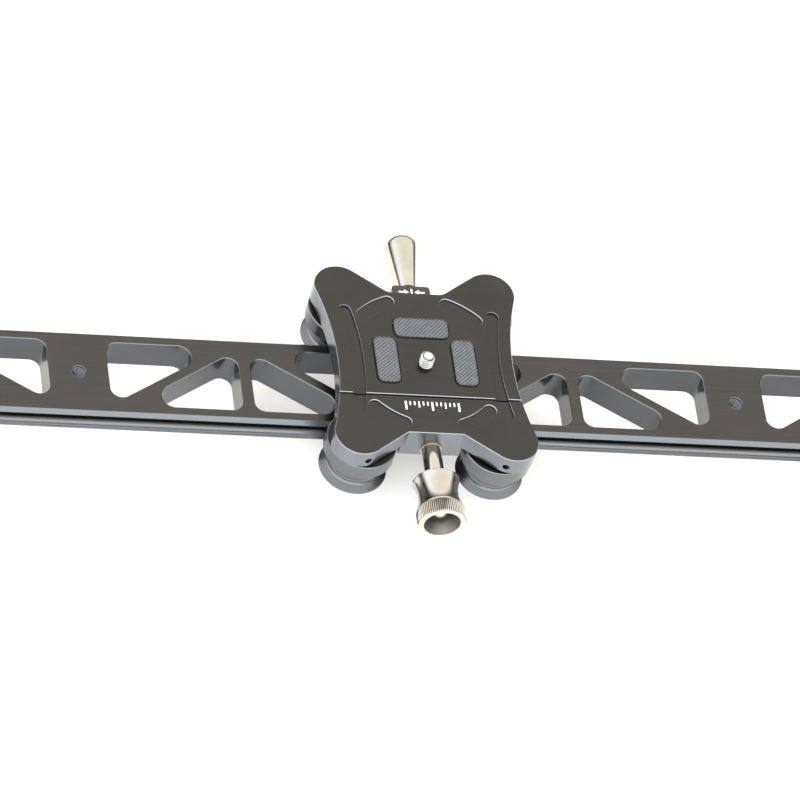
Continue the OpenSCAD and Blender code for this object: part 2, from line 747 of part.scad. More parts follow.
module brake_handle() color(silver) at_carriage() difference() {
    dome_r = handle_end_y - handle_wide_y;
    turned_y(1) intersection() {
        union() {
            polygon([[0, handle_start_y], [handle_base_r - edge, handle_start_y],
                     [handle_base_r, handle_start_y + edge], [handle_r, handle_wide_y],
                     [handle_r - dome_r, handle_end_y], [0, handle_end_y]]);
            translate([handle_r - dome_r, handle_wide_y]) circle(r = dome_r);
        }
        translate([0, handle_start_y]) square([handle_r, handle_end_y - handle_start_y]);
    }
    rod_y(m6_r + snug, handle_start_y - 1, handle_start_y + screw_in_handle + 0.1, 0, screw_z);
}

rail();
end_bracket_left();
end_bracket_right();
bracket_screws();
rubber_feet();
end_buffers();
rear_plate();
front_plate();
guide_pins();
pad_rear();
pad_left();
pad_right();
camera_stud();
set_screws_rear();
set_screws_front();
wheel_rear_left();
wheel_rear_right();
wheel_front_left();
wheel_front_right();
outer_races_rear_left();
outer_races_rear_right();
outer_races_front_left();
outer_races_front_right();
inner_races_rear_left();
inner_races_rear_right();
inner_races_front_left();
inner_races_front_right();
spacers_rear_left();
spacers_rear_right();
spacers_front_left();
spacers_front_right();
axle_bolt_rear_left();
axle_bolt_rear_right();
axle_bolt_front_left();
axle_bolt_front_right();
thrust_ring();
knob_spindle();
knob_head();
knob_cap_nut();
brake_block();
brake_block_screws();
brake_shoe();
brake_lining();
brake_screw();
brake_handle();
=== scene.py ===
"""Looks of a camera slider: a truss-cut rail with round side ridges, and a split carriage on four
grooved wheels, with a knurled jaw knob and a tapered brake handle.

Outlines and profiles are in millimetres, in the same frame as the CAD model: +X along the rail, +Y to
the rear, +Z up, with the origin under the middle of the rail.
"""

import json
import math

import bmesh
import bpy
from mathutils import Matrix, Vector


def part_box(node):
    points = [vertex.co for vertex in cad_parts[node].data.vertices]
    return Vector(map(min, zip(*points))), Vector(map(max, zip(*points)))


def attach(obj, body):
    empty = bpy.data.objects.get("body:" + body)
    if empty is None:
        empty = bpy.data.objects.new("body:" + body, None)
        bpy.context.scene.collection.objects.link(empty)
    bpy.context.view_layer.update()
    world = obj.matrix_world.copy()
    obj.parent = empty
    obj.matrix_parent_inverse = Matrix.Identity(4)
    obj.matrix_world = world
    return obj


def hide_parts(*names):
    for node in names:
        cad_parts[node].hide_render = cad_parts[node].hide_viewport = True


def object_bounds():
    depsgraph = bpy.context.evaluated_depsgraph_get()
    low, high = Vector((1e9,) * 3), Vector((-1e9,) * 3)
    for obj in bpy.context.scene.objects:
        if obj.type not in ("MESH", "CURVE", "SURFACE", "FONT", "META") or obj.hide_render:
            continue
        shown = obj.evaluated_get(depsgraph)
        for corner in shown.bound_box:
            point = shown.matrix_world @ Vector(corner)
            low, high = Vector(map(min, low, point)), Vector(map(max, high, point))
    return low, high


MM = 0.001
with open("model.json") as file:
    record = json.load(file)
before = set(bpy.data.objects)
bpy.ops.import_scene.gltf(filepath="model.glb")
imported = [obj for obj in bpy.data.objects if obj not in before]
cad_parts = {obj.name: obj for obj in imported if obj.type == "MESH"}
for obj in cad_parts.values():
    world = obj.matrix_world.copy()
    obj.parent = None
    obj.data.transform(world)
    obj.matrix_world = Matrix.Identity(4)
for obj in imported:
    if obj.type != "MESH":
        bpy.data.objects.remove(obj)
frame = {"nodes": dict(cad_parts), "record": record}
CAD_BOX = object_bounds()


def box_mm(node):
    """Lowest and highest corners of a CAD node, in millimetres."""
    low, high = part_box(node)
    return Vector(low) / MM, Vector(high) / MM


# ---------- sizes, in millimetres ----------

RAIL_HIGH = box_mm("rail")[1]
RAIL_END = RAIL_HIGH.x
RAIL_T = RAIL_HIGH.z
RAIL_TOP_Y = 21.0
RAIL_CHAMFER = 1.9
RIDGE_R = 2.8
RIDGE_Y = RAIL_HIGH.y - RIDGE_R
RIDGE_Z = 8.4
PANEL_PITCH = 150.0
PANEL_COUNT = 4
HOLE_WEB = 13.4
OPENING_Y = 17.0
DIAGONAL = math.radians(33)
DIAGONAL_WEB = 4.6
CROSS_BAR = 5.3
OPENING_CORNER_R = 5.0
OPENING_TIP_R = 6.0
QUARTER_INCH = {"major": 3.175, "minor": 2.55, "pitch": 1.27}
THREE_EIGHTHS = {"major": 4.76, "minor": 3.97, "pitch": 1.5875}
STUD_THREAD = {"major": 3.175, "minor": 2.4, "pitch": 1.27}
BRACKET_SCREW_Y = 13

STUD_LOW, STUD_HIGH = box_mm("camera_stud")
CARRIAGE_X = (STUD_LOW.x + STUD_HIGH.x) / 2
DECK_BOTTOM, DECK_TOP = 24.0, box_mm("rear_plate")[1].z
LOBE_X, LOBE_Y, LOBE_R = 34.4, 40.7, 11.5
WAIST_X = 40.0
NOTCH_X, NOTCH_Y = 12.4, 38.9
NOTCH_FILLET = 6.0
SPLIT_REAR, SPLIT_FRONT = -18.3, -19.2
BLOCK_X, BLOCK_BOTTOM = 14.0, 17.4
SIDE_ARC_R = ((WAIST_X - LOBE_X) ** 2 + LOBE_Y**2 - LOBE_R**2) / (2 * (LOBE_R - WAIST_X + LOBE_X))
SIDE_ARC_X = WAIST_X + SIDE_ARC_R
GROOVE_R, GROOVE_END_Y, GROOVE_DEPTH = SIDE_ARC_X - 31.1, 27.3, 1.0
LEAF_R, LEAF_FROM, LEAF_TO, LEAF_DEPTH = 36.0, 44.0, 68.0, 0.8
BAND_HALF = 3.0
PAD_NAMES = ("pad_rear", "pad_left", "pad_right")
PAD_W, PAD_L, PAD_R = 10.4, 24.8, 3.0
PAD_RECESS, PAD_MARGIN = 1.2, 0.5
PAD_TOP, PAD_RELIEF = box_mm("pad_left")[1].z, 0.5
DIAMOND_W, DIAMOND_L = 1.9, 1.8
REAR_PAD_Y, SIDE_PAD_X, SIDE_PAD_Y = 18.85, 17.7, 0.4
WHEEL_X, WHEEL_Y = 31.0, 36.4
BARREL_R, FLANGE_R, FLANGE_SLOPE = 15.8, 15.25, 30.0
SCREW_Z, SCREW_BORE_R = 21.9, 3.05
SET_SCREW_Z, SET_SCREW_R = 27.7, 1.55
CUP_FLOOR = 67.0
INK = 0.03

# The usual broken edge, and the largest step in degrees between two points of an arc.
EDGE = 0.25
ARC_STEP = 7.5


# ---------- outlines ----------


def arc(centre, r, start, end, steps=None):
    """Points on an arc from one angle to another, in degrees."""
    steps = steps or max(2, math.ceil(abs(end - start) / ARC_STEP))
    turns = [math.radians(start + (end - start) * i / steps) for i in range(steps + 1)]
    return [(centre[0] + r * math.cos(a), centre[1] + r * math.sin(a)) for a in turns]


def circle(r, count, centre=(0, 0)):
    """A circle of count points, counter-clockwise."""
    return arc(centre, r, 0, 360, count)[:-1]


def rectangle(left, front, right, back):
    """A rectangle, counter-clockwise from its left front corner."""
    return [(left, front), (right, front), (right, back), (left, back)]


def hexagon(r, count):
    """A hexagon of corner radius r, drawn with the same number of points as a circle."""
    loop = []
    for i in range(count):
        turn = 2 * math.pi * i / count
        within = turn % (math.pi / 3) - math.pi / 6
        reach = r * math.cos(math.pi / 6) / math.cos(within)
        loop.append((reach * math.cos(turn), reach * math.sin(turn)))
    return loop


def fluted(r, depth, flutes, count):
    """A circle with V-shaped flutes of the given depth."""
    loop = []
    for i in range(count):
        phase = i * flutes / count % 1
        reach = r - depth * abs(2 * phase - 1)
        turn = 2 * math.pi * i / count
        loop.append((reach * math.cos(turn), reach * math.sin(turn)))
    return loop


def rounded(points, radii, closed=True):
    """An outline or a profile with its corners rounded. radii is one radius, or one for each corner."""
    count = len(points)
    if not hasattr(radii, "__len__"):
        radii = [radii] * count
    out = []
    for i, (point, r) in enumerate(zip(points, radii)):
        at_end = not closed and i in (0, count - 1)
        if r == 0 or at_end:
            out.append(tuple(point))
            continue
        p = Vector(point)
        back = (Vector(points[i - 1]) - p).normalized()
        ahead = (Vector(points[(i + 1) % count]) - p).normalized()
        half = math.acos(max(-1.0, min(1.0, back.dot(ahead)))) / 2
        centre = p + (back + ahead).normalized() * (r / math.sin(half))
        first, last = p + back * (r / math.tan(half)), p + ahead * (r / math.tan(half))
        start = math.degrees(math.atan2(*(first - centre).yx))
        end = math.degrees(math.atan2(*(last - centre).yx))
        sweep = (end - start + 180) % 360 - 180
        out += arc(centre, r, start, start + sweep)
    return out


def offset(loop, distance):
    """A counter-clockwise outline moved outwards, or inwards if the distance is negative."""
    out = []
    for i, point in enumerate(loop):
        p, a, b = Vector(point), Vector(loop[i - 1]), Vector(loop[(i + 1) % len(loop)])
        before, after = (p - a).normalized(), (b - p).normalized()
        n1, n2 = Vector((before.y, -before.x)), Vector((after.y, -after.x))
        out.append(tuple(p + (n1 + n2) * (distance / (1 + n1.dot(n2)))))
    return out


def mirrored(loop, across_x=True):
    """An outline mirrored left to right, or front to back, and still counter-clockwise."""
    return [(-x, y) if across_x else (x, -y) for x, y in reversed(loop)]


def moved(loop, dx, dy):
    """An outline shifted in its own plane."""
    return [(x + dx, y + dy) for x, y in loop]


def band(centre, mid_r, half, start, end):
    """A stretch of an arc as a band with round ends."""
    first, last = (arc(centre, mid_r, a, a, 1)[0] for a in (start, end))
    outer = arc(centre, mid_r + half, start, end, 24)
    inner = arc(centre, mid_r - half, end, start, 24)
    first_cap = arc(first, half, start + 180, start + 360)[1:-1]
    last_cap = arc(last, half, end, end + 180)[1:-1]
    return outer + last_cap + inner + first_cap


# ---------- meshes ----------

# Which way a solid that is stacked along its own Z points in the model.
UPRIGHT = Matrix.Identity(4)
UPSIDE_DOWN = Matrix.Rotation(math.pi, 4, "X")
ALONG_X = Matrix(((0, 0, 1, 0), (1, 0, 0, 0), (0, 1, 0, 0), (0, 0, 0, 1)))
AGAINST_X = Matrix.Rotation(math.pi, 4, "Z") @ ALONG_X
TO_REAR = Matrix(((1, 0, 0, 0), (0, 0, 1, 0), (0, -1, 0, 0), (0, 0, 0, 1)))
TO_FRONT = Matrix(((-1, 0, 0, 0), (0, 0, -1, 0), (0, -1, 0, 0), (0, 0, 0, 1)))


def placed(x, y, z, turn=UPRIGHT):
    """A place in millimetres, with a turn about it."""
    return Matrix.Translation((x, y, z)) @ turn


# The carriage's middle, and the axes of the brake screw and of the jaw screw.
CARRIAGE = placed(CARRIAGE_X, 0, 0)
REAR_SCREW = placed(CARRIAGE_X, 0, SCREW_Z, TO_REAR)
FRONT_SCREW = placed(CARRIAGE_X, 0, SCREW_Z, TO_FRONT)


def new_object(name, data):
    """A new object in the scene."""
    obj = bpy.data.objects.new(name, data)
    bpy.context.scene.collection.objects.link(obj)
    return obj


def shade(mesh, degrees=32):
    """Smooth shading, but for edges sharper than the angle."""
    for polygon in mesh.polygons:
        polygon.use_smooth = True
    mesh.set_sharp_from_angle(angle=math.radians(degrees))


def mesh_object(name, points, faces):
    """An object from points in millimetres, with its faces turned outwards."""
    mesh = bpy.data.meshes.new(name)
    mesh.from_pydata([Vector(p) * MM for p in points], [], faces)
    mesh.validate()
    work = bmesh.new()
    work.from_mesh(mesh)
    bmesh.ops.recalc_face_normals(work, faces=work.faces)
    work.to_mesh(mesh)
    work.free()
    shade(mesh)
    return new_object(name, mesh)


def stack(name, layers, place=UPRIGHT, ring=False):
    """A solid skinned over outlines of equal length at given heights.

    A ring joins its last outline to its first.
    """
    count = len(layers[0][0])
    points = [place @ Vector((x, y, z)) for loop, z in layers for x, y in loop]
    faces = []
    spans = len(layers) if ring else len(layers) - 1
    for s in range(spans):
        low, high = s * count, (s + 1) % len(layers) * count
        for i in range(count):
            j = (i + 1) % count
            faces.append((low + i, low + j, high + j, high + i))
    if not ring:
        faces.append(tuple(range(count - 1, -1, -1)))
        faces.append(tuple(range(len(points) - count, len(points))))
    return mesh_object(name, points, faces)


def lathe(name, profile, place=UPRIGHT, count=96, ring=False):
    """A turned solid. The profile is a list of (radius, height)."""
    return stack(name, [(circle(r, count), h) for r, h in profile], place, ring)


def edged(loop, low, high, edge=EDGE, top_edge=None):
    """Layers of a plate whose upper and lower edges are chamfered."""
    top_edge = top_edge or edge
    return [
        (offset(loop, -edge), low),
        (loop, low + edge),
        (loop, high - top_edge),
        (offset(loop, -top_edge), high),
    ]


def softened(loop, low, high, edge):
    """Layers of a moulded pad whose edges are rounded."""
    turns = [math.radians(15 * i) for i in range(7)]
    rise = [(offset(loop, edge * (math.sin(a) - 1)), low + edge * (1 - math.cos(a))) for a in turns]
    fall = [(offset(loop, edge * (math.cos(a) - 1)), high - edge * (1 - math.sin(a))) for a in turns]
    return rise + fall


def pocket(name, loop, floor, top, rim=0.12, place=UPRIGHT):
    """A cutter for a blind pocket with a broken rim."""
    return stack(name, [(loop, floor), (loop, top - rim), (offset(loop, 2 * rim), top + rim)], place)


def through(name, loop, low, high, rim=0.3, low_rim=0.15):
    """A cutter for a hole that goes right through, with both rims broken."""
    layers = [(offset(loop, 2 * low_rim), low - low_rim), (loop, low + low_rim)]
    return stack(name, layers + [(loop, high - rim), (offset(loop, 2 * rim), high + rim)])


def drill(r, low, high, place, count=48):
    """A cutter for a straight round hole between two heights."""
    return stack("drill", [(circle(r, count), low), (circle(r, count), high)], place)


def joined(name, objects):
    """One object from several meshes that stay separate solids."""
    work = bmesh.new()
    for obj in objects:
        work.from_mesh(obj.data)
    mesh = bpy.data.meshes.new(name)
    work.to_mesh(mesh)
    work.free()
    shade(mesh)
    for obj in objects:
        bpy.data.objects.remove(obj)
    return new_object(name, mesh)


def combine(target, tools, operation):
    """Adds the tools to the target, or cuts them out of it."""
    tool = joined("tool", tools)
    change = target.modifiers.new("change", "BOOLEAN")
    change.operation = operation
    change.solver = "EXACT"
    change.object = tool
    change.use_self = True
    bpy.context.view_layer.update()
    changed = target.evaluated_get(bpy.context.evaluated_depsgraph_get())
    result = bpy.data.meshes.new_from_object(changed)
    target.modifiers.clear()
    target.data = result
    shade(result)
    bpy.data.objects.remove(tool)
    return target


# ---------- materials ----------

# The colour sockets of a Mix node: its two inputs and its output.
FIRST_COLOUR, SECOND_COLOUR, MIXED_COLOUR = 6, 7, 2

# The width of a worn edge, which is also a painted edge highlight, the depth of a hairline scratch, in
# metres, and the bare metal of worn edges, which also stands in for a painted highlight.
WEAR_AND_HIGHLIGHT_EDGE = 0.0002
HAIRLINE = 0.0000012
BARE_METAL_AND_HIGHLIGHT = (0.3, 0.3, 0.31)


class Graph:
    """Builds one node tree."""

    def __init__(self, tree):
        self.tree = tree

    def add(self, kind, **settings):
        """A new node with the given properties."""
        node = self.tree.nodes.new(kind)
        for key, value in settings.items():
            setattr(node, key, value)
        return node

    def link(self, source, target):
        """Links an output to an input."""
        self.tree.links.new(source, target)

    def ranged(self, source, low, high, from_low=0.3, from_high=0.7, **settings):
        """A value moved from one range to another, and held inside it."""
        node = self.add("ShaderNodeMapRange", **settings)
        ends = {"From Min": from_low, "From Max": from_high, "To Min": low, "To Max": high}
        for key, value in ends.items():
            node.inputs[key].default_value = value
        self.link(source, node.inputs["Value"])
        return node.outputs["Result"]

    def mix(self, factor, first, second):
        """A colour mixed by a factor. Each colour is a value or a socket."""
        node = self.add("ShaderNodeMix", data_type="RGBA")
        self.link(factor, node.inputs["Factor"])
        for index, colour in ((FIRST_COLOUR, first), (SECOND_COLOUR, second)):
            if isinstance(colour, bpy.types.NodeSocket):
                self.link(colour, node.inputs[index])
            else:
                node.inputs[index].default_value = (*colour, 1)
        return node.outputs[MIXED_COLOUR]

    def math(self, operation, first, second=0.0):
        """A sum on two values. Each is a number or a socket."""
        node = self.add("ShaderNodeMath", operation=operation)
        for slot, value in zip(node.inputs, (first, second)):
            if isinstance(value, bpy.types.NodeSocket):
                self.link(value, slot)
            else:
                slot.default_value = value
        return node.outputs[0]

    def split(self, vector, axis):
        """One part of a vector."""
        node = self.add("ShaderNodeSeparateXYZ")
        self.link(vector, node.inputs[0])
        return node.outputs[axis]


class Nodes(Graph):
    """Builds one material."""

    def __init__(self, name):
        self.material = bpy.data.materials.new(name)
        self.material.use_nodes = True
        super().__init__(self.material.node_tree)
        self.shader = self.tree.nodes["Principled BSDF"]
        self.place = self.add("ShaderNodeTexCoord").outputs["Object"]

    def stretched(self, scale):
        """The object's own coordinates, scaled along each axis."""
        mapping = self.add("ShaderNodeMapping")
        mapping.inputs["Scale"].default_value = scale
        self.link(self.place, mapping.inputs["Vector"])
        return mapping.outputs["Vector"]

    def noise(self, scale, stretch=(1, 1, 1), detail=3.0, roughness=0.6):
        """Noise whose features are about 1/scale metres across before it is stretched."""
        node = self.add("ShaderNodeTexNoise")
        node.inputs["Scale"].default_value = scale
        node.inputs["Detail"].default_value = detail
        node.inputs["Roughness"].default_value = roughness
        self.link(self.stretched(stretch), node.inputs["Vector"])
        return node.outputs["Fac"]

    def bump(self, *heights):
        """Bumps from (height socket, depth in metres), one over another."""
        normal = None
        for height, depth in heights:
            node = self.add("ShaderNodeBump")
            node.inputs["Distance"].default_value = depth
            self.link(height, node.inputs["Height"])
            if normal:
                self.link(normal, node.inputs["Normal"])
            normal = node.outputs["Normal"]
        self.link(normal, self.shader.inputs["Normal"])

    def level(self):
        """How level a face lies: 0 on a wall and 1 on a face that looks up or down."""
        geometry = self.add("ShaderNodeNewGeometry")
        return self.math("ABSOLUTE", self.split(geometry.outputs["True Normal"], "Z"))

    def from_axis(self, x, y=None, z=None):
        """Distance in metres from an upright axis at x, y, or from an axis along Y at x, z."""
        names, centre = ("XY", (x, y, 0)) if z is None else ("XZ", (x, 0, z))
        shift = self.add("ShaderNodeVectorMath", operation="SUBTRACT")
        shift.inputs[1].default_value = [c * MM for c in centre]
        self.link(self.place, shift.inputs[0])
        first, second = (self.split(shift.outputs["Vector"], axis) for axis in names)
        squares = self.math("ADD", self.math("MULTIPLY", first, first), self.math("MULTIPLY", second, second))
        return self.math("SQRT", squares)

    def edges(self, radius):
        """1 near an edge of the shape and 0 on its faces."""
        bevel = self.add("ShaderNodeBevel", samples=4)
        bevel.inputs["Radius"].default_value = radius
        geometry = self.add("ShaderNodeNewGeometry")
        dot = self.add("ShaderNodeVectorMath", operation="DOT_PRODUCT")
        self.link(bevel.outputs["Normal"], dot.inputs[0])
        self.link(geometry.outputs["Normal"], dot.inputs[1])
        return self.ranged(dot.outputs["Value"], 1, 0, 0.86, 0.99)


def anodised(name, dark, light, grain, rough=(0.19, 0.26), streak=0.16, wall=None, bevel=None):
    """Dyed black aluminium: a fine grain, cloudy colour and faintly worn edges, which are also a painted edge
    highlight.

    Walls and bevels can have colours of their own, which are painted light and shade: lighter walls a painted
    reflection of the bright floor, near-black walls painted shade, and lighter bevels a painted highlight.
    """
    n = Nodes(name)
    cloud = n.noise(45, detail=5)
    lines = n.noise(1, grain, detail=4, roughness=0.75)
    body = n.mix(n.ranged(cloud, 0, 1), dark, light)
    body = n.mix(n.ranged(lines, 0, streak), body, [c * 1.5 for c in light])
    # Painted light and shade by face angle: walls and bevels take their own colours in place of reflections,
    # shade and highlights.
    if wall:
        level = n.level()
        side = n.mix(n.ranged(cloud, 0, 1), [c * 0.88 for c in wall], wall)
        side = n.mix(n.ranged(level, 0, 1, 0.3, 0.6), side, bevel or wall)
        body = n.mix(n.ranged(level, 0, 1, 0.8, 0.96), side, body)
    # Edges lightened towards bare metal in rubbed spots: partly real wear, partly a painted edge highlight.
    rubbed = n.ranged(n.noise(160, detail=3), 0.0, 0.25, 0.45, 0.7)
    wear_and_highlight = n.math("MULTIPLY", n.edges(WEAR_AND_HIGHLIGHT_EDGE), rubbed)
    n.link(n.mix(wear_and_highlight, body, BARE_METAL_AND_HIGHLIGHT), n.shader.inputs["Base Color"])
    n.link(n.ranged(lines, *rough), n.shader.inputs["Roughness"])
    n.shader.inputs["Metallic"].default_value = 0.93
    n.bump((lines, HAIRLINE), (n.noise(5200, detail=2), HAIRLINE))
    return n.material


def polished(name, dark, light, rough, rings):
    """Plated or turned metal, with faint tool marks and smudges."""
    n = Nodes(name)
    smudge = n.noise(120, detail=5)
    turning = n.noise(1, rings, detail=3, roughness=0.7)
    n.link(n.mix(n.ranged(smudge, 0, 1), dark, light), n.shader.inputs["Base Color"])
    n.link(n.ranged(smudge, *rough), n.shader.inputs["Roughness"])
    n.shader.inputs["Metallic"].default_value = 1.0
    n.bump((turning, 0.0000015))
    return n.material


def root_shaded(name, dark, light, axis, root_r, crest_r, rough=(0.28, 0.42), metallic=1.0):
    """Plated metal with painted shade in the roots of a thread or knurl around an axis.

    The level faces around an upright axis get no painted shade.
    """
    n = Nodes(name)
    smudge = n.noise(700, detail=4)
    # Painted shade: darker from crest_r in towards root_r, reckoned from the axis.
    root = n.ranged(n.from_axis(**axis), 1, 0, root_r * MM, crest_r * MM)
    if "z" not in axis:
        root = n.math("MULTIPLY", root, n.ranged(n.level(), 1, 0, 0.9, 0.99))
    body = n.mix(n.ranged(smudge, 0, 1), dark, light)
    n.link(n.mix(root, body, [c * 0.12 for c in dark]), n.shader.inputs["Base Color"])
    n.link(n.ranged(smudge, *rough), n.shader.inputs["Roughness"])
    n.shader.inputs["Metallic"].default_value = metallic
    n.bump((n.noise(1, (40, 40, 4000)), 0.000002))
    return n.material


def rubbery(name, dark, light, rough=(0.5, 0.75), relief=None):
    """Moulded rubber: mottled, with a fine skin, some dust, and shade in the hollows of any relief."""
    n = Nodes(name)
    skin = n.noise(3500, detail=2)
    body = n.mix(n.ranged(n.noise(400, detail=4), 0, 1), dark, light)
    if relief:
        hollow = n.ranged(n.split(n.place, "Z"), 1, 0, relief[0] * MM, relief[1] * MM)
        body = n.mix(hollow, body, [c * 0.12 for c in dark])
    dust = n.ranged(skin, 0, 0.12, 0.55, 0.8)
    n.link(n.mix(dust, body, (0.5, 0.5, 0.5)), n.shader.inputs["Base Color"])
    n.link(n.ranged(skin, *rough), n.shader.inputs["Roughness"])
    n.bump((skin, 0.00002))
    return n.material


def printed(name):
    """White ink, a little worn through."""
    n = Nodes(name)
    thin = n.ranged(n.noise(2500, detail=3), 0, 0.5, 0.55, 0.75)
    n.link(n.mix(thin, (0.86, 0.86, 0.85), (0.45, 0.45, 0.45)), n.shader.inputs["Base Color"])
    n.link(n.ranged(n.noise(5000), 0.4, 0.6), n.shader.inputs["Roughness"])
    n.bump((n.noise(6000), 0.000004))
    return n.material


# Scales that stretch noise into grain, which runs along the axis that has the small number.
RAIL_GRAIN = (18, 1900, 1900)
PLATE_GRAIN = (35, 2100, 2100)
BEAD_BLASTED = (2600, 2600, 2600)
ALONG_Z = (2500, 2500, 60)

# The wall and bevel colours below are painted light and shade: lighter walls are a painted reflection of the
# bright floor, lighter bevels a painted highlight on the chamfers.
MATERIALS = {
    "rail_anodised": anodised(
        "rail_anodised",
        (0.047, 0.046, 0.044),
        (0.056, 0.055, 0.053),
        RAIL_GRAIN,
        streak=0.6,
        wall=(0.106, 0.108, 0.115),
        bevel=(0.2, 0.205, 0.212),
    ),
    "plate_anodised": anodised(
        "plate_anodised",
        (0.039, 0.038, 0.036),
        (0.047, 0.046, 0.0435),
        PLATE_GRAIN,
        streak=0.3,
        wall=(0.165, 0.172, 0.188),
        bevel=(0.38, 0.388, 0.405),
    ),
    "block_anodised": anodised(
        "block_anodised", (0.05, 0.055, 0.055), (0.07, 0.075, 0.075), ALONG_Z
    ),
    "bracket_anodised": anodised(
        "bracket_anodised", (0.06, 0.06, 0.065), (0.085, 0.085, 0.09), BEAD_BLASTED, (0.4, 0.55)
    ),
    "wheel_anodised": anodised(
        "wheel_anodised",
        (0.034, 0.033, 0.032),
        (0.044, 0.043, 0.042),
        (30, 30, 5000),
        (0.2, 0.3),
        wall=(0.125, 0.127, 0.133),
        bevel=(0.22, 0.22, 0.225),
    ),
    "pad_rubber": rubbery(
        "pad_rubber",
        (0.1, 0.103, 0.108),
        (0.135, 0.139, 0.145),
        relief=(PAD_TOP - PAD_RELIEF, PAD_TOP - 0.08),
    ),
    "black_rubber": rubbery("black_rubber", (0.016, 0.016, 0.017), (0.03, 0.03, 0.032)),
    "lining_rubber": rubbery("lining_rubber", (0.09, 0.04, 0.025), (0.15, 0.075, 0.045)),
    # stud_steel: painted shade in the roots of the thread.
    "stud_steel": root_shaded(
        "stud_steel",
        (0.6, 0.59, 0.54),
        (0.74, 0.73, 0.67),
        {"x": CARRIAGE_X, "y": 0},
        2.45,
        2.9,
        metallic=0.85,
    ),
    "ground_steel": polished(
        "ground_steel", (0.42, 0.42, 0.43), (0.56, 0.56, 0.57), (0.2, 0.34), (60, 4000, 60)
    ),
    "black_steel": polished(
        "black_steel", (0.035, 0.035, 0.038), (0.065, 0.065, 0.07), (0.3, 0.48), (900, 900, 900)
    ),
    "bearing_steel": polished(
        "bearing_steel", (0.5, 0.5, 0.51), (0.66, 0.66, 0.68), (0.14, 0.26), (60, 60, 4000)
    ),
    "brass_ring": polished(
        "brass_ring", (0.56, 0.45, 0.28), (0.68, 0.56, 0.38), (0.25, 0.4), (60, 4000, 60)
    ),
    "polished_nickel": polished(
        "polished_nickel", (0.45, 0.424, 0.376), (0.52, 0.494, 0.446), (0.06, 0.14), (60, 3000, 60)
    ),
}
WHITE_INK = printed("white_ink")
# The tapped threads: lighter flanks and near-black upright faces, painted light and shade that make the
# thread show.
TAPPED_PAINTED_SHADE = anodised(
    "tapped_painted_shade",
    (0.11, 0.112, 0.118),
    (0.14, 0.142, 0.148),
    ALONG_Z,
    wall=(0.015, 0.015, 0.016),
    bevel=(0.12, 0.122, 0.128),
)
# Painted shade in the roots of the knob's knurl.
KNURLED_NICKEL = root_shaded(
    "knurled_nickel",
    (0.55, 0.52, 0.46),
    (0.66, 0.63, 0.57),
    {"x": CARRIAGE_X, "z": SCREW_Z},
    10.3,
    10.65,
    (0.14, 0.24),
)
TURNED_CUP = polished(
    "turned_cup", (0.36, 0.345, 0.32), (0.62, 0.6, 0.57), (0.3, 0.5), (60, 2500, 60)
)


def piece(obj, body, slot, *nodes, material=None):
    """Finishes a new piece: the material of its slot, or the one given, the body it rides on, and hides the
    CAD nodes it stands for.
    """
    obj.data.materials.clear()
    obj.data.materials.append(material or MATERIALS[slot])
    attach(obj, body)
    if nodes:
        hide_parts(*nodes)


# ---------- rail ----------


def rail_section():
    """The rail's section: one half from the underside up, then the other half."""
    sole_y, side_y, root_y = 18.5, 19.5, 20.6
    chord = RIDGE_Y - root_y
    lift = math.sqrt(RIDGE_R**2 - chord**2)
    half_turn = math.degrees(math.atan2(lift, -chord))
    ridge = arc((RIDGE_Y, RIDGE_Z), RIDGE_R, -half_turn, half_turn, 28)
    foot = [(sole_y, 0), (side_y, 1), (side_y, RIDGE_Z - 3.2), (root_y, RIDGE_Z - 2.4)]
    shoulder = (RAIL_TOP_Y + RAIL_CHAMFER, RAIL_T - RAIL_CHAMFER)
    brow = [(root_y, RIDGE_Z + 3), shoulder, (RAIL_TOP_Y, RAIL_T)]
    half = foot + ridge + brow
    radii = [0.25, 0.25, 0.3, 0.3] + [0] * len(ridge) + [0.3, 0.3, 0.2]
    return rounded(half + mirrored(half), radii + radii[::-1])


def half_panel():
    """The two triangular openings between a tapped hole and the middle of its panel."""
    rise = math.tan(DIAGONAL)
    bar_x = PANEL_PITCH / 2 - CROSS_BAR / 2
    low_x = HOLE_WEB + DIAGONAL_WEB / math.sin(DIAGONAL)
    tip_x, tip_y = HOLE_WEB + 2 * OPENING_Y / rise, (bar_x - low_x) * rise - OPENING_Y
    outer = [(HOLE_WEB, -OPENING_Y), (tip_x, OPENING_Y), (HOLE_WEB, OPENING_Y)]
    inner = [(low_x, -OPENING_Y), (bar_x, -OPENING_Y), (bar_x, tip_y)]
    r, tip_r = OPENING_CORNER_R, OPENING_TIP_R
    return [rounded(outer, [r, tip_r, r]), rounded(inner, [tip_r, r, r])]


def hole_places():
    """Each tapped hole's place along the rail, with its thread."""
    side = [i * PANEL_PITCH for i in range(-PANEL_COUNT // 2, PANEL_COUNT // 2 + 1) if i]
    return [(0.0, THREE_EIGHTHS)] + [(x, QUARTER_INCH) for x in side]


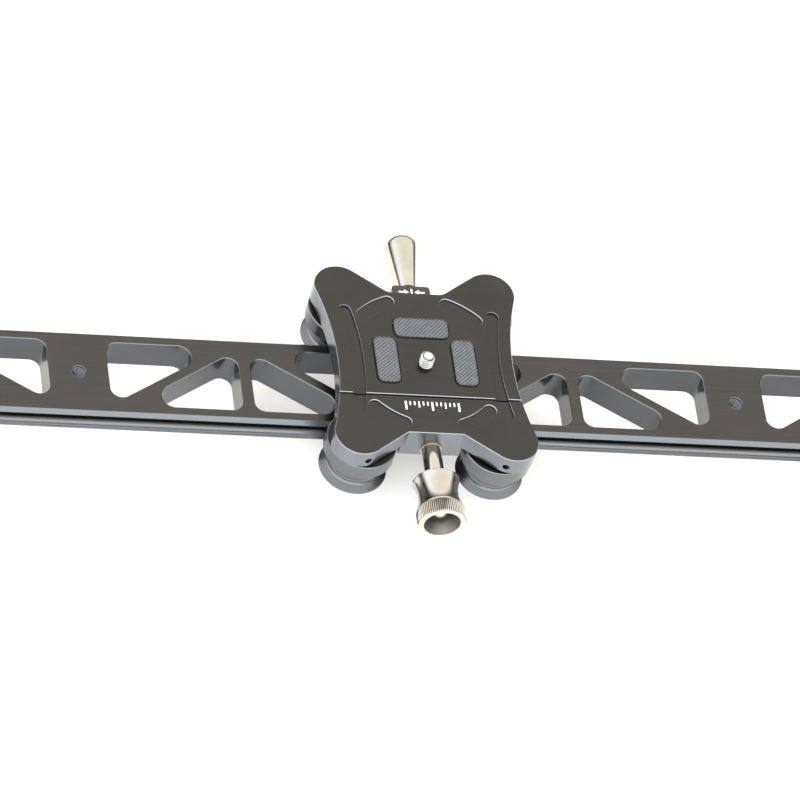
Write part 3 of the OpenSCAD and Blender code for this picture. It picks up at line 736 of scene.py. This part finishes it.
def make_rail():
    """The extruded rail, with its truss openings, tapped holes and end screw holes."""
    section = rail_section()
    end_edge, screw_hole_r, screw_hole_depth = 0.15, 3.02, 16
    layers = [(offset(section, -end_edge), -RAIL_END), (section, end_edge - RAIL_END)]
    layers += [(section, RAIL_END - end_edge), (offset(section, -end_edge), RAIL_END)]
    rail = stack("rail_detail", layers, ALONG_X)
    cutters = []
    for i in range(PANEL_COUNT):
        start = (i - PANEL_COUNT / 2) * PANEL_PITCH
        for loop in half_panel():
            for opening in (moved(loop, start, 0), moved(mirrored(loop), start + PANEL_PITCH, 0)):
                cutters.append(through("opening", opening, 0, RAIL_T))
    for x, thread in hole_places():
        cutters.append(through("hole", circle(thread["major"] + 0.1, 48, (x, 0)), 0, RAIL_T, 0.2))
    for y in (-BRACKET_SCREW_Y, BRACKET_SCREW_Y):
        place = placed(0, y, RAIL_T / 2, ALONG_X)
        left = (-RAIL_END - 1, screw_hole_depth - RAIL_END)
        right = (RAIL_END - screw_hole_depth, RAIL_END + 1)
        for low, high in (left, right):
            cutters.append(drill(screw_hole_r, low, high, place, 32))
    combine(rail, cutters, "DIFFERENCE")
    piece(rail, "rail_frame", "rail_anodised", "rail")


def helix(thread, height, count=36):
    """The outline of a thread at one height."""
    loop = []
    for i in range(count):
        phase = (height / thread["pitch"] - i / count) % 1
        climb = min(1.0, max(0.0, 1.6 * abs(2 * phase - 1) - 0.3))
        reach = thread["minor"] + (thread["major"] - thread["minor"]) * climb
        turn = 2 * math.pi * i / count
        loop.append((reach * math.cos(turn), reach * math.sin(turn)))
    return loop


def levels(low, high, pitch, per_turn=8):
    """Heights along a thread, a few to each turn."""
    steps = math.ceil((high - low) / pitch * per_turn)
    return [low + (high - low) * i / steps for i in range(steps + 1)]


def make_tapped_threads():
    """The threads inside the rail's tapped holes, each a thin threaded sleeve."""
    sleeves = []
    for x, thread in hole_places():
        wall = circle(thread["major"] + 0.25, 36)
        low, high = 0.5, RAIL_T - 0.7
        layers = [(helix(thread, z), z) for z in levels(low, high, thread["pitch"])]
        layers += [(wall, high), (wall, low)]
        sleeves.append(stack("sleeve", layers, placed(x, 0, 0), ring=True))
    piece(joined("tapped_threads", sleeves), "rail_frame", "rail_anodised", material=TAPPED_PAINTED_SHADE)


# ---------- rail ends ----------


def hex_head(name, layers_before, top, socket_r, socket_depth, place, count=48):
    """A turned screw whose last face has a hexagon socket."""
    layers = [(circle(r, count), h) for r, h in layers_before]
    layers += [
        (hexagon(socket_r + 0.25, count), top),
        (hexagon(socket_r, count), top - 0.2),
        (hexagon(socket_r, count), top - socket_depth),
    ]
    return stack(name, layers, place)


def make_end_brackets():
    """The two legged plates across the rail's ends, with seats for their screws' heads."""
    seat_r, seat_depth = 5.3, 3.5
    half = [(27, -8), (31, -13), (31, -22), (45, -22), (45, 18), (39, 27), (27, 27), (21, 19)]
    radii = [4, 3, 0.9, 0.9, 3, 3, 2, 3]
    outline = rounded(half + mirrored(half), radii + radii[::-1])
    for side, name in ((-1, "end_bracket_left"), (1, "end_bracket_right")):
        low, high = box_mm(name)
        plate = stack(name + "_detail", edged(outline, low.x, high.x, 0.6), ALONG_X)
        seat = (low.x + seat_depth, high.x + 1) if side > 0 else (low.x - 1, high.x - seat_depth)
        cutters = []
        for y in (-BRACKET_SCREW_Y, BRACKET_SCREW_Y):
            cutters.append(drill(seat_r, *seat, placed(0, y, RAIL_T / 2, ALONG_X)))
        combine(plate, cutters, "DIFFERENCE")
        piece(plate, "rail_frame", "bracket_anodised", name)


def make_bracket_screws():
    """Socket head screws with finely knurled heads."""
    count = 144
    screws = []
    shank = [(2.6, -15), (3, -14.6), (3, 3.5)]
    for side in (-1, 1):
        for y in (-BRACKET_SCREW_Y, BRACKET_SCREW_Y):
            turn = ALONG_X if side > 0 else AGAINST_X
            place = placed(side * RAIL_END, y, RAIL_T / 2, turn)
            layers = [(circle(r, count), h) for r, h in shank + [(4.7, 3.5)]]
            layers += [(fluted(5, 0.16, 36, count), h) for h in (3.8, 8.4)]
            layers += [(circle(4.75, count), 8.9), (circle(4.3, count), 9.5)]
            layers += [(hexagon(r, count), h) for r, h in ((3.1, 9.5), (2.9, 9.3), (2.9, 6.5))]
            screws.append(stack("screw", layers, place))
    piece(joined("bracket_screws_detail", screws), "rail_frame", "black_steel", "bracket_screws")


def make_feet():
    """Rubber feet: a rounded pad whose sole has cross grooves."""
    low, high = box_mm("rubber_feet")
    half_w, half_l, corner_r = 8, 9, 4
    groove_pitch, groove_half, reach, groove_depth = 3, 0.4, 10, 0.6
    outline = rounded(rectangle(-half_w, -half_l, half_w, half_l), corner_r)
    feet = []
    for side in (-1, 1):
        for across in (-1, 1):
            x = side * (high.x - half_w)
            y = across * (high.y - half_l)
            foot = stack("foot", softened(moved(outline, x, y), low.z, high.z, 0.8))
            treads = []
            for i in range(-2, 3):
                mid_y = y + i * groove_pitch
                slot = rectangle(x - reach, mid_y - groove_half, x + reach, mid_y + groove_half)
                treads.append(stack("tread", [(slot, low.z - 1), (slot, low.z + groove_depth)]))
            feet.append(combine(foot, treads, "DIFFERENCE"))
    piece(joined("rubber_feet_detail", feet), "rail_frame", "black_rubber", "rubber_feet")


def make_buffers():
    """Rubber buffers that stop the wheels at each end of the rail."""
    buffers = []
    body = [(0.01, -8), (4.6, -8), (6, -6.4), (6, -3.4), (5.3, -2.8), (6, -2.2), (6, 0), (2.5, 0)]
    profile = [(1.2, -7.2), (1.6, -8)] + rounded(body, 0.5, False)[1:] + [(2.5, 8), (1, 8)]
    for side in (-1, 1):
        turn = ALONG_X if side > 0 else AGAINST_X
        for y in (-WHEEL_Y, WHEEL_Y):
            buffers.append(lathe("buffer", profile, placed(side * RAIL_END, y, RAIL_T + 3.8, turn), 64))
    piece(joined("end_buffers_detail", buffers), "rail_frame", "black_rubber", "end_buffers")


# ---------- carriage plates ----------


def plate_outline(split, fillet):
    """Outline of a plate on the +Y side of its split line, about the carriage's middle."""
    lobe = Vector((LOBE_X, LOBE_Y))
    to_lobe = lobe - Vector((NOTCH_X, NOTCH_Y))
    slope = math.degrees(math.atan2(to_lobe.y, to_lobe.x) + math.asin(LOBE_R / to_lobe.length))
    off_turn = math.degrees(math.atan2(-LOBE_Y, SIDE_ARC_X - LOBE_X))
    first = 180 - math.degrees(math.asin(split / SIDE_ARC_R))
    side = arc((SIDE_ARC_X, 0), SIDE_ARC_R, first, 180 + off_turn, 20)
    end = arc(lobe, LOBE_R, off_turn, slope + 90, 40)[1:]
    corner = [(NOTCH_X, NOTCH_Y)]
    if fillet:
        corner = rounded([end[-1], corner[0], (0, NOTCH_Y)], fillet, False)[1:-1]
    right = side + end + corner
    return right + mirrored(right)


def deck_pockets():
    """Cutters for the long grooves and the leaf-shaped pockets of both plates."""
    out = []
    sweep = math.degrees(math.asin(GROOVE_END_Y / GROOVE_R))
    groove = band((SIDE_ARC_X, 0), GROOVE_R, BAND_HALF, 180 - sweep, 180 + sweep)
    leaf = band((0, 0), LEAF_R, BAND_HALF, LEAF_FROM, LEAF_TO)
    kinds = [(groove, GROOVE_DEPTH, 0.1), (leaf, LEAF_DEPTH, 0.3), (mirrored(leaf, False), LEAF_DEPTH, 0.3)]
    for loop, depth, rim in kinds:
        for shape in (loop, mirrored(loop)):
            out.append(pocket("pocket", shape, DECK_TOP - depth, DECK_TOP, rim, CARRIAGE))
    return out


def pad_outline(grow=0.0):
    """A pad's rounded outline, grown all round for its recess."""
    half_w, half_l = PAD_W / 2 + grow, PAD_L / 2 + grow
    return rounded(rectangle(-half_w, -half_l, half_w, half_l), PAD_R + grow)


def pad_place(name):
    """Where a pad lies, and how it is turned."""
    if name == "pad_rear":
        return placed(CARRIAGE_X, REAR_PAD_Y, 0, Matrix.Rotation(math.pi / 2, 4, "Z"))
    side = -1 if name == "pad_left" else 1
    return placed(CARRIAGE_X + side * SIDE_PAD_X, SIDE_PAD_Y, 0)


def block(low, high):
    """The block under a plate's middle, with broken edges."""
    loop = rounded(rectangle(low[0], low[1], high[0], high[1]), 0.4)
    return stack("block", edged(loop, low[2], high[2]), CARRIAGE)


def set_screw_cutters(side):
    """The set screw holes in a plate's two lobes."""
    out = []
    for x in (-WHEEL_X, WHEEL_X):
        place = placed(CARRIAGE_X + x, 0, SET_SCREW_Z, TO_REAR if side > 0 else TO_FRONT)
        out.append(drill(SET_SCREW_R, WHEEL_Y + 3, 60, place, 32))
    return out


def make_rear_plate():
    """The rear plate and its block, with pockets, pad recesses, the stud's seat and the brake's bore."""
    outline = plate_outline(SPLIT_REAR, NOTCH_FILLET)
    plate = stack("rear_plate_detail", edged(outline, DECK_BOTTOM, DECK_TOP), CARRIAGE)
    low, high = (-BLOCK_X, SPLIT_REAR, BLOCK_BOTTOM), (BLOCK_X, NOTCH_Y, DECK_BOTTOM + 2)
    combine(plate, [block(low, high)], "UNION")
    cutters = deck_pockets() + set_screw_cutters(1)
    recess, recess_floor = pad_outline(PAD_MARGIN), DECK_TOP - PAD_RECESS
    for name in PAD_NAMES:
        cutters.append(pocket("recess", recess, recess_floor, DECK_TOP, place=pad_place(name)))
    stud_r, seat_r, seat_top = 3.25, 5.8, 22.5
    cutters.append(pocket("stud_hole", circle(stud_r, 48), seat_top - 0.5, DECK_TOP, 0.3, CARRIAGE))
    cutters.append(drill(seat_r, BLOCK_BOTTOM - 1, seat_top, CARRIAGE))
    half, back, front, roof = 4.5, NOTCH_Y + 1, 25, 26.2
    tongue = rectangle(-half, front, half, back)
    cutters.append(stack("tongue_pocket", [(tongue, BLOCK_BOTTOM - 1), (tongue, roof)], CARRIAGE))
    combine(plate, cutters, "DIFFERENCE")
    bore = drill(SCREW_BORE_R, -8, -20, REAR_SCREW)
    combine(plate, [bore], "DIFFERENCE")
    piece(plate, "carriage", "plate_anodised", "rear_plate")


def make_front_plate():
    """The front plate, which is the jaw, with its block, pockets and the spindle's bore."""
    outline = mirrored(plate_outline(-SPLIT_FRONT, 0), False)
    layers = edged(outline, DECK_BOTTOM, DECK_TOP)
    plate = stack("front_plate_detail", layers, CARRIAGE)
    low, high = (-BLOCK_X, -NOTCH_Y, BLOCK_BOTTOM), (BLOCK_X, SPLIT_FRONT, DECK_BOTTOM + 2)
    combine(plate, [block(low, high)], "UNION")
    cutters = deck_pockets() + set_screw_cutters(-1)
    cutters.append(drill(SCREW_BORE_R, 10, 45, FRONT_SCREW))
    combine(plate, cutters, "DIFFERENCE")
    piece(plate, "jaw", "plate_anodised", "front_plate")


def make_marks():
    """A generic row of printed ticks on the front plate, longer at the middle and the ends."""
    start_y, pitch, end_tick = -21.9, 2, 6
    ticks = []
    for i in range(-end_tick, end_tick + 1):
        length = 4.6 if i % end_tick == 0 else (3.2 if i % 3 == 0 else 2.0)
        half = 0.42 if i % end_tick == 0 else 0.3
        left, right, tip = i * pitch - half, i * pitch + half, start_y - length
        loop = rounded(rectangle(left, tip, right, start_y), 0.1)
        layers = [(loop, DECK_TOP), (loop, DECK_TOP + INK)]
        ticks.append(stack("tick", layers, CARRIAGE))
    piece(joined("centre_marks", ticks), "jaw", "plate_anodised", material=WHITE_INK)


def pad_surface(columns, rows):
    """Points of a pad's upper surface, row by row: diamonds in relief, which fade at its rim."""
    half_w, half_l, fade = PAD_W / 2, PAD_L / 2, 0.6
    points = []
    for j in range(rows + 1):
        t = 2 * j / rows - 1
        y = half_l * (0.35 * math.sin(math.pi / 2 * t) + 0.65 * t)
        past = max(0.0, abs(y) - (half_l - PAD_R))
        reach = half_w - PAD_R + math.sqrt(max(0.0, PAD_R**2 - past**2))
        for i in range(columns + 1):
            x = reach * (2 * i / columns - 1)
            crown = min(1.0, min(reach - abs(x), half_l - abs(y)) / fade)
            up = abs(math.sin(math.pi * (x / DIAMOND_W + y / DIAMOND_L)))
            down = abs(math.sin(math.pi * (x / DIAMOND_W - y / DIAMOND_L)))
            z = PAD_TOP - PAD_RELIEF + PAD_RELIEF * crown * min(1.0, 0.1 + 1.2 * up * down)
            points.append((x, y, z))
    return points


def make_pads():
    """Three rubber pads with a diagonal diamond knurl, straight sides and a flat base."""
    columns, rows = 72, 168
    width = columns + 1
    surface = pad_surface(columns, rows)
    border = list(range(width)) + [j * width + columns for j in range(1, rows + 1)]
    border += [rows * width + i for i in range(columns - 1, -1, -1)]
    border += [j * width for j in range(rows - 1, 0, -1)]
    base, count = len(surface), len(border)
    faces = []
    for j in range(rows):
        for i in range(columns):
            a = j * width + i
            faces.append((a, a + 1, a + 1 + width, a + width))
    for i in range(count):
        j = (i + 1) % count
        faces.append((border[j], border[i], base + i, base + j))
    faces.append(tuple(base + i for i in range(count - 1, -1, -1)))
    for name in PAD_NAMES:
        bottom = box_mm(name)[0].z
        place = pad_place(name)
        points = [place @ Vector(p) for p in surface]
        points += [Vector((points[i].x, points[i].y, bottom)) for i in border]
        pad = mesh_object(name + "_detail", points, faces)
        shade(pad.data, 50)
        piece(pad, "carriage", "pad_rubber", name)


def make_stud():
    """The camera screw: a threaded end above the deck, a plain shank and a flat head below."""
    low, top = STUD_LOW.z, STUD_HIGH.z
    below = [(5.2, low), (5.5, low + 0.3), (5.5, low + 3), (3, low + 3), (3, DECK_TOP - 1.2)]
    heights = levels(DECK_TOP - 1, top - 0.7, STUD_THREAD["pitch"], 10)
    layers = [(circle(r, 36), h) for r, h in below]
    layers += [(helix(STUD_THREAD, h), h) for h in heights]
    layers += [(circle(r, 36), h) for r, h in ((2.55, top - 0.5), (2.3, top - 0.15), (1.9, top))]
    stud = stack("camera_stud_detail", layers, CARRIAGE)
    piece(stud, "carriage", "stud_steel", "camera_stud")


# ---------- wheels ----------

CORNERS = [("rear_left", -1, 1), ("rear_right", 1, 1), ("front_left", -1, -1), ("front_right", 1, -1)]


def wheel_profile(low, high):
    """Section of a wheel: sloping flange, round groove, lip, barrel, and the seats of its bearings."""
    groove_mid, groove = WHEEL_Y - RIDGE_Y, RIDGE_R + 0.15
    lip = WHEEL_Y - RAIL_TOP_Y - RAIL_CHAMFER - 0.35
    flank = RAIL_T + RAIL_TOP_Y - WHEEL_Y + 0.25 * math.sqrt(2)
    edge_r = BARREL_R - 0.2
    edge_z = edge_r + flank
    lip_turn = math.degrees(math.acos((lip - groove_mid) / groove))
    scoop = arc((groove_mid, RIDGE_Z), groove, 270 - FLANGE_SLOPE, lip_turn, 28)
    rim_z = scoop[0][1] - (FLANGE_R - scoop[0][0]) * math.tan(math.radians(FLANGE_SLOPE))
    flange = rounded([(8.6, low), (FLANGE_R, low), (FLANGE_R, rim_z), scoop[0]], [0, 0.3, 0.12, 0], False)
    above = [scoop[-1], (lip, lip + flank), (edge_r, edge_z), (BARREL_R + 0.1, edge_z + 0.4)]
    above += [(BARREL_R + 0.1, edge_z + 0.8), (BARREL_R, edge_z + 1.2)]
    above += [(BARREL_R, high - 0.4), (BARREL_R - 0.4, high)]
    above = rounded(above + [(9.9, high)], [0, 0.15, 0.15, 0.1, 0.1, 0.15, 0.15, 0.15, 0], False)
    seat_r, web_r = 8.52, 7.4
    inside = [(9.5, high - 0.4), (seat_r, high - 0.4), (seat_r, high - 6.6), (web_r, high - 6.8)]
    inside += [(web_r, low + 6.8), (seat_r, low + 6.6), (seat_r, low + 0.3)]
    return flange[:-1] + scoop + above[1:] + inside


def make_wheels():
    """The four grooved wheels."""
    for corner, side_x, side_y in CORNERS:
        low, high = box_mm("wheel_" + corner)
        place = placed(CARRIAGE_X + side_x * WHEEL_X, side_y * WHEEL_Y, 0)
        wheel = lathe(f"wheel_{corner}_detail", wheel_profile(low.z, high.z), place, 128, ring=True)
        piece(wheel, "roller_" + corner, "wheel_anodised", "wheel_" + corner)


def make_axle_bolts():
    """Low round heads with hexagon sockets, under the wheels."""
    for corner, side_x, side_y in CORNERS:
        low, high = box_mm("axle_bolt_" + corner)
        place = placed(CARRIAGE_X + side_x * WHEEL_X, side_y * WHEEL_Y, 0, UPSIDE_DOWN)
        tip, top = -high.z, -low.z
        profile = [(2.6, tip), (3, tip + 0.4), (3, top - 2), (4.3, top - 2), (4.6, top - 1.7)]
        profile += rounded([(4.6, top - 1), (4.2, top - 0.2), (3.4, top)], 0.4, False)
        bolt = hex_head(f"axle_bolt_{corner}_detail", profile, top, 2, 1.4, place)
        body = "carriage" if side_y > 0 else "jaw"
        piece(bolt, body, "black_steel", "axle_bolt_" + corner)


# ---------- jaw knob ----------


def make_knob():
    """The knob's brass ring, spindle, domed nut and knurled head, around the jaw screw."""
    profile = rounded(rectangle(3.06, 38.9, 4.8, 39.8), [0.1, 0.1, 0.3, 0.2])
    ring = lathe("thrust_ring_detail", profile, FRONT_SCREW, 64, ring=True)
    piece(ring, "jaw", "brass_ring", "thrust_ring")
    low, high = box_mm("knob_spindle")
    profile = [(2.6, -high.y), (3, -high.y + 0.5), (3, 39.85), (4.1, 39.82), (4.35, 40.1)]
    profile += [(4.35, 56.8), (3, 57), (3, -low.y - 0.4), (2.6, -low.y)]
    spindle = lathe("knob_spindle_detail", profile, FRONT_SCREW)
    piece(spindle, "knob", "polished_nickel", "knob_spindle")
    nut_r, dome_y = 4.4, CUP_FLOOR + 4.1
    profile = [(3.02, CUP_FLOOR + 4), (3.02, CUP_FLOOR), (nut_r - 0.3, CUP_FLOOR), (nut_r, CUP_FLOOR + 0.3)]
    profile += arc((0, dome_y), nut_r, 0, 88, 20)
    nut = lathe("knob_cap_nut_detail", profile, FRONT_SCREW, 64)
    piece(nut, "knob", "polished_nickel", "knob_cap_nut")
    make_knob_head()


def make_knob_head():
    """The knob: a collar, a smooth waist, a knurled ring, a flat rim and a deep turned cup."""
    flutes, count, flute_depth, knurl_r = 72, 576, 0.55, 10.75
    neck_r, neck_y, waist_r, cup_r = 8.9, 65.1, 19.5, 8
    knurl_from, knurl_to = 73.4, 79.3
    ends = (180 - math.degrees(math.asin((y - neck_y) / waist_r)) for y in (57.6, 72.7))
    waist = [(4.2, 57), (9.8, 57), (10.2, 57.1), (10.42, 57.35)]
    waist += arc((neck_r + waist_r, neck_y), waist_r, *ends, 24)
    rim = [(10.35, 79.7), (10.15, 79.9), (9.8, 80), (8.4, 80), (8.1, 79.9), (cup_r, 79.6)]
    cup = [(cup_r, CUP_FLOOR + 0.6), (7.8, CUP_FLOOR + 0.15), (7.4, CUP_FLOOR), (3.02, CUP_FLOOR), (3.02, 57)]
    layers = [(circle(r, count), h) for r, h in waist + [(10.4, 73.1)]]
    layers += [(fluted(knurl_r, flute_depth, flutes, count), h) for h in (knurl_from, knurl_to)]
    layers += [(circle(r, count), h) for r, h in rim + cup]
    head = stack("knob_head_detail", layers, FRONT_SCREW, ring=True)
    piece(head, "knob", "polished_nickel", "knob_head")
    head.data.materials.append(KNURLED_NICKEL)
    head.data.materials.append(TURNED_CUP)
    knurled, turned = 1, 2
    axis = FRONT_SCREW.translation
    for polygon in head.data.polygons:
        x, y, z = polygon.center / MM
        from_axis = math.hypot(x - axis.x, z - axis.z)
        if -y > CUP_FLOOR - 0.1 and from_axis < cup_r + 0.05:
            polygon.material_index = turned
        elif knurl_from - 0.2 < -y < knurl_to + 0.2 and from_axis > 10:
            polygon.material_index = knurled


# ---------- brake ----------


def make_brake_block():
    """The block behind the rear plate, with two counterbored screw holes and a printed mark."""
    low, high = box_mm("brake_block")
    half, depth = (high.x - low.x) / 2, high.y - low.y
    loop = rounded(rectangle(-half, 0, half, depth), [0.5, 0.5, 1.5, 1.5])
    layers = edged(loop, low.z, high.z, 0.3, 0.4)
    body = stack("brake_block_detail", layers, placed(CARRIAGE_X, low.y, 0))
    bores = [drill(SCREW_BORE_R, 38, 48, REAR_SCREW)]
    screw_x, screw_z, shank_r, head_r, seat_y = 6.3, RAIL_T + 10.8, 1.4, 2.35, 44
    for x in (-screw_x, screw_x):
        profile = [(shank_r, 38), (shank_r, seat_y), (head_r, seat_y), (head_r, 48)]
        bores.append(lathe("bore", profile, placed(CARRIAGE_X + x, 0, screw_z, TO_REAR), 32))
    combine(body, bores, "DIFFERENCE")
    piece(body, "carriage", "block_anodised", "brake_block")
    make_clamp_mark(high.z)


def make_clamp_mark(top):
    """Two printed arrows that point at a bar, for clamping."""
    bar = rounded(rectangle(-0.35, 41.4, 0.35, 45), 0.15)
    arrow = [(1.3, 43.2), (3.4, 41.8), (3.4, 42.8), (6, 42.8), (6, 43.6), (3.4, 43.6), (3.4, 44.6)]
    arrow = rounded(arrow, 0.1)
    marks = []
    for loop in (bar, arrow, mirrored(arrow)):
        marks.append(stack("mark", [(loop, top), (loop, top + INK)], CARRIAGE))
    piece(joined("clamp_mark", marks), "carriage", "block_anodised", material=WHITE_INK)


def make_brake_handle():
    """A tapered handle with a domed end."""
    low, high = box_mm("brake_handle")
    base_r, wide_r, tip_r = 4.5, 8.3, 5.5
    wide_y = high.y - tip_r
    slope = (wide_r - base_r) / (wide_y - low.y)
    profile = [(3.02, low.y + 0.1), (base_r - 0.4, low.y)]
    profile += [(base_r + (y - low.y) * slope, y) for y in (low.y + 0.4, 56, 61, 66, 70)]
    profile += arc((wide_r - tip_r, wide_y), tip_r, 0, 88, 14)
    handle = lathe("brake_handle_detail", profile, REAR_SCREW)
    piece(handle, "handle", "polished_nickel", "brake_handle")


# ---------- what the CAD nodes that still show are made of ----------


def finish_cad_nodes():
    """Gives each CAD node that still shows the material of its slot."""
    for part in frame["record"]["subparts"]:
        node = frame["nodes"][part["node"]]
        if not node.hide_render:
            for slot in node.material_slots:
                slot.material = MATERIALS[part["material_slot"]]


# ---------- camera, light and floor ----------

# Lengths are in millimetres, angles in degrees before they are turned to radians.
LENS_MM = 299.84
CAMERA_DISTANCE = 2934.4
CAMERA_TARGET = Vector((-6.07, -7.23, 15))
AZIMUTH, ELEVATION, ROLL = (math.radians(a) for a in (-23.05, 49.5, -20.68))

FLOOR_COLOUR = (0.8, 0.79, 0.77, 1)
SKY = (1.9, 2.0, 2.12)
WARM_SKY = (1.68, 1.61, 1.44)
LOW_SKY = (0.22, 0.21, 0.2)
WARM_TOWARDS = (0.254, 0.598, 0.760)


def make_camera():
    """A long lens, above and to the left of the front, rolled so that the rail falls to the right."""
    back = Vector((math.sin(AZIMUTH), -math.cos(AZIMUTH), 0)) * math.cos(ELEVATION)
    back.z = math.sin(ELEVATION)
    level_right = back.cross(Vector((0, 0, 1))).normalized() * -1
    level_up = back.cross(level_right)
    right = level_right * math.cos(ROLL) - level_up * math.sin(ROLL)
    up = level_right * math.sin(ROLL) + level_up * math.cos(ROLL)
    camera = new_object("camera", bpy.data.cameras.new("camera"))
    camera.data.lens = LENS_MM
    camera.data.clip_end = 50
    turn = Matrix((right, up, back)).transposed().to_4x4()
    place = Matrix.Translation((CAMERA_TARGET + back * CAMERA_DISTANCE) * MM)
    camera.matrix_world = place @ turn
    bpy.context.scene.camera = camera


def make_floor():
    """A plain pale floor, level with the lowest point of the model."""
    material = bpy.data.materials.new("floor")
    material.use_nodes = True
    shader = material.node_tree.nodes["Principled BSDF"]
    shader.inputs["Base Color"].default_value = FLOOR_COLOUR
    shader.inputs["Roughness"].default_value = 0.9
    shader.inputs["Specular IOR Level"].default_value = 0.0
    low = CAD_BOX[0][2] / MM
    side = 6000
    corners = [(x, y, low) for x, y in rectangle(-side, -side, side, side)]
    floor = mesh_object("floor", corners, [(0, 1, 2, 3)])
    floor.data.materials.append(material)


def make_lamp(name, place, size, watts):
    """A square lamp at a place in metres, aimed at the origin and not seen in reflections."""
    lamp = new_object(name, bpy.data.lights.new(name, "AREA"))
    lamp.data.size = size
    lamp.data.energy = watts
    lamp.location = place
    lamp.rotation_euler = (-lamp.location).to_track_quat("-Z", "Y").to_euler()
    lamp.visible_glossy = False


def make_light():
    """A soft studio: bright all round above, with a dimmer, warmer patch above and behind the object."""
    scene = bpy.context.scene
    scene.view_settings.view_transform = "Standard"
    world = bpy.data.worlds.new("studio")
    scene.world = world
    world.use_nodes = True
    sky = Graph(world.node_tree)
    direction = sky.add("ShaderNodeTexCoord").outputs["Generated"]
    towards = sky.add("ShaderNodeVectorMath", operation="DOT_PRODUCT")
    towards.inputs[1].default_value = WARM_TOWARDS
    sky.link(direction, towards.inputs[0])
    height = sky.split(direction, "Z")
    smooth = {"interpolation_type": "SMOOTHSTEP"}
    in_patch = sky.ranged(towards.outputs["Value"], 0, 1, 0.45, 0.93, **smooth)
    above = sky.ranged(height, 0, 1, 0.12, 0.5, **smooth)
    colour = sky.mix(above, LOW_SKY, sky.mix(in_patch, SKY, WARM_SKY))
    sky.link(colour, world.node_tree.nodes["Background"].inputs["Color"])
    make_lamp("key", (-0.4, -0.65, 0.55), 0.6, 12.0)
    make_lamp("fill", (1.2, 0.5, 1.6), 2.0, 30.0)


make_camera()
make_light()
make_floor()
make_rail()
make_tapped_threads()
make_end_brackets()
make_bracket_screws()
make_feet()
make_buffers()
make_rear_plate()
make_front_plate()
make_marks()
make_pads()
make_stud()
make_wheels()
make_axle_bolts()
make_knob()
make_brake_block()
make_brake_handle()
finish_cad_nodes()
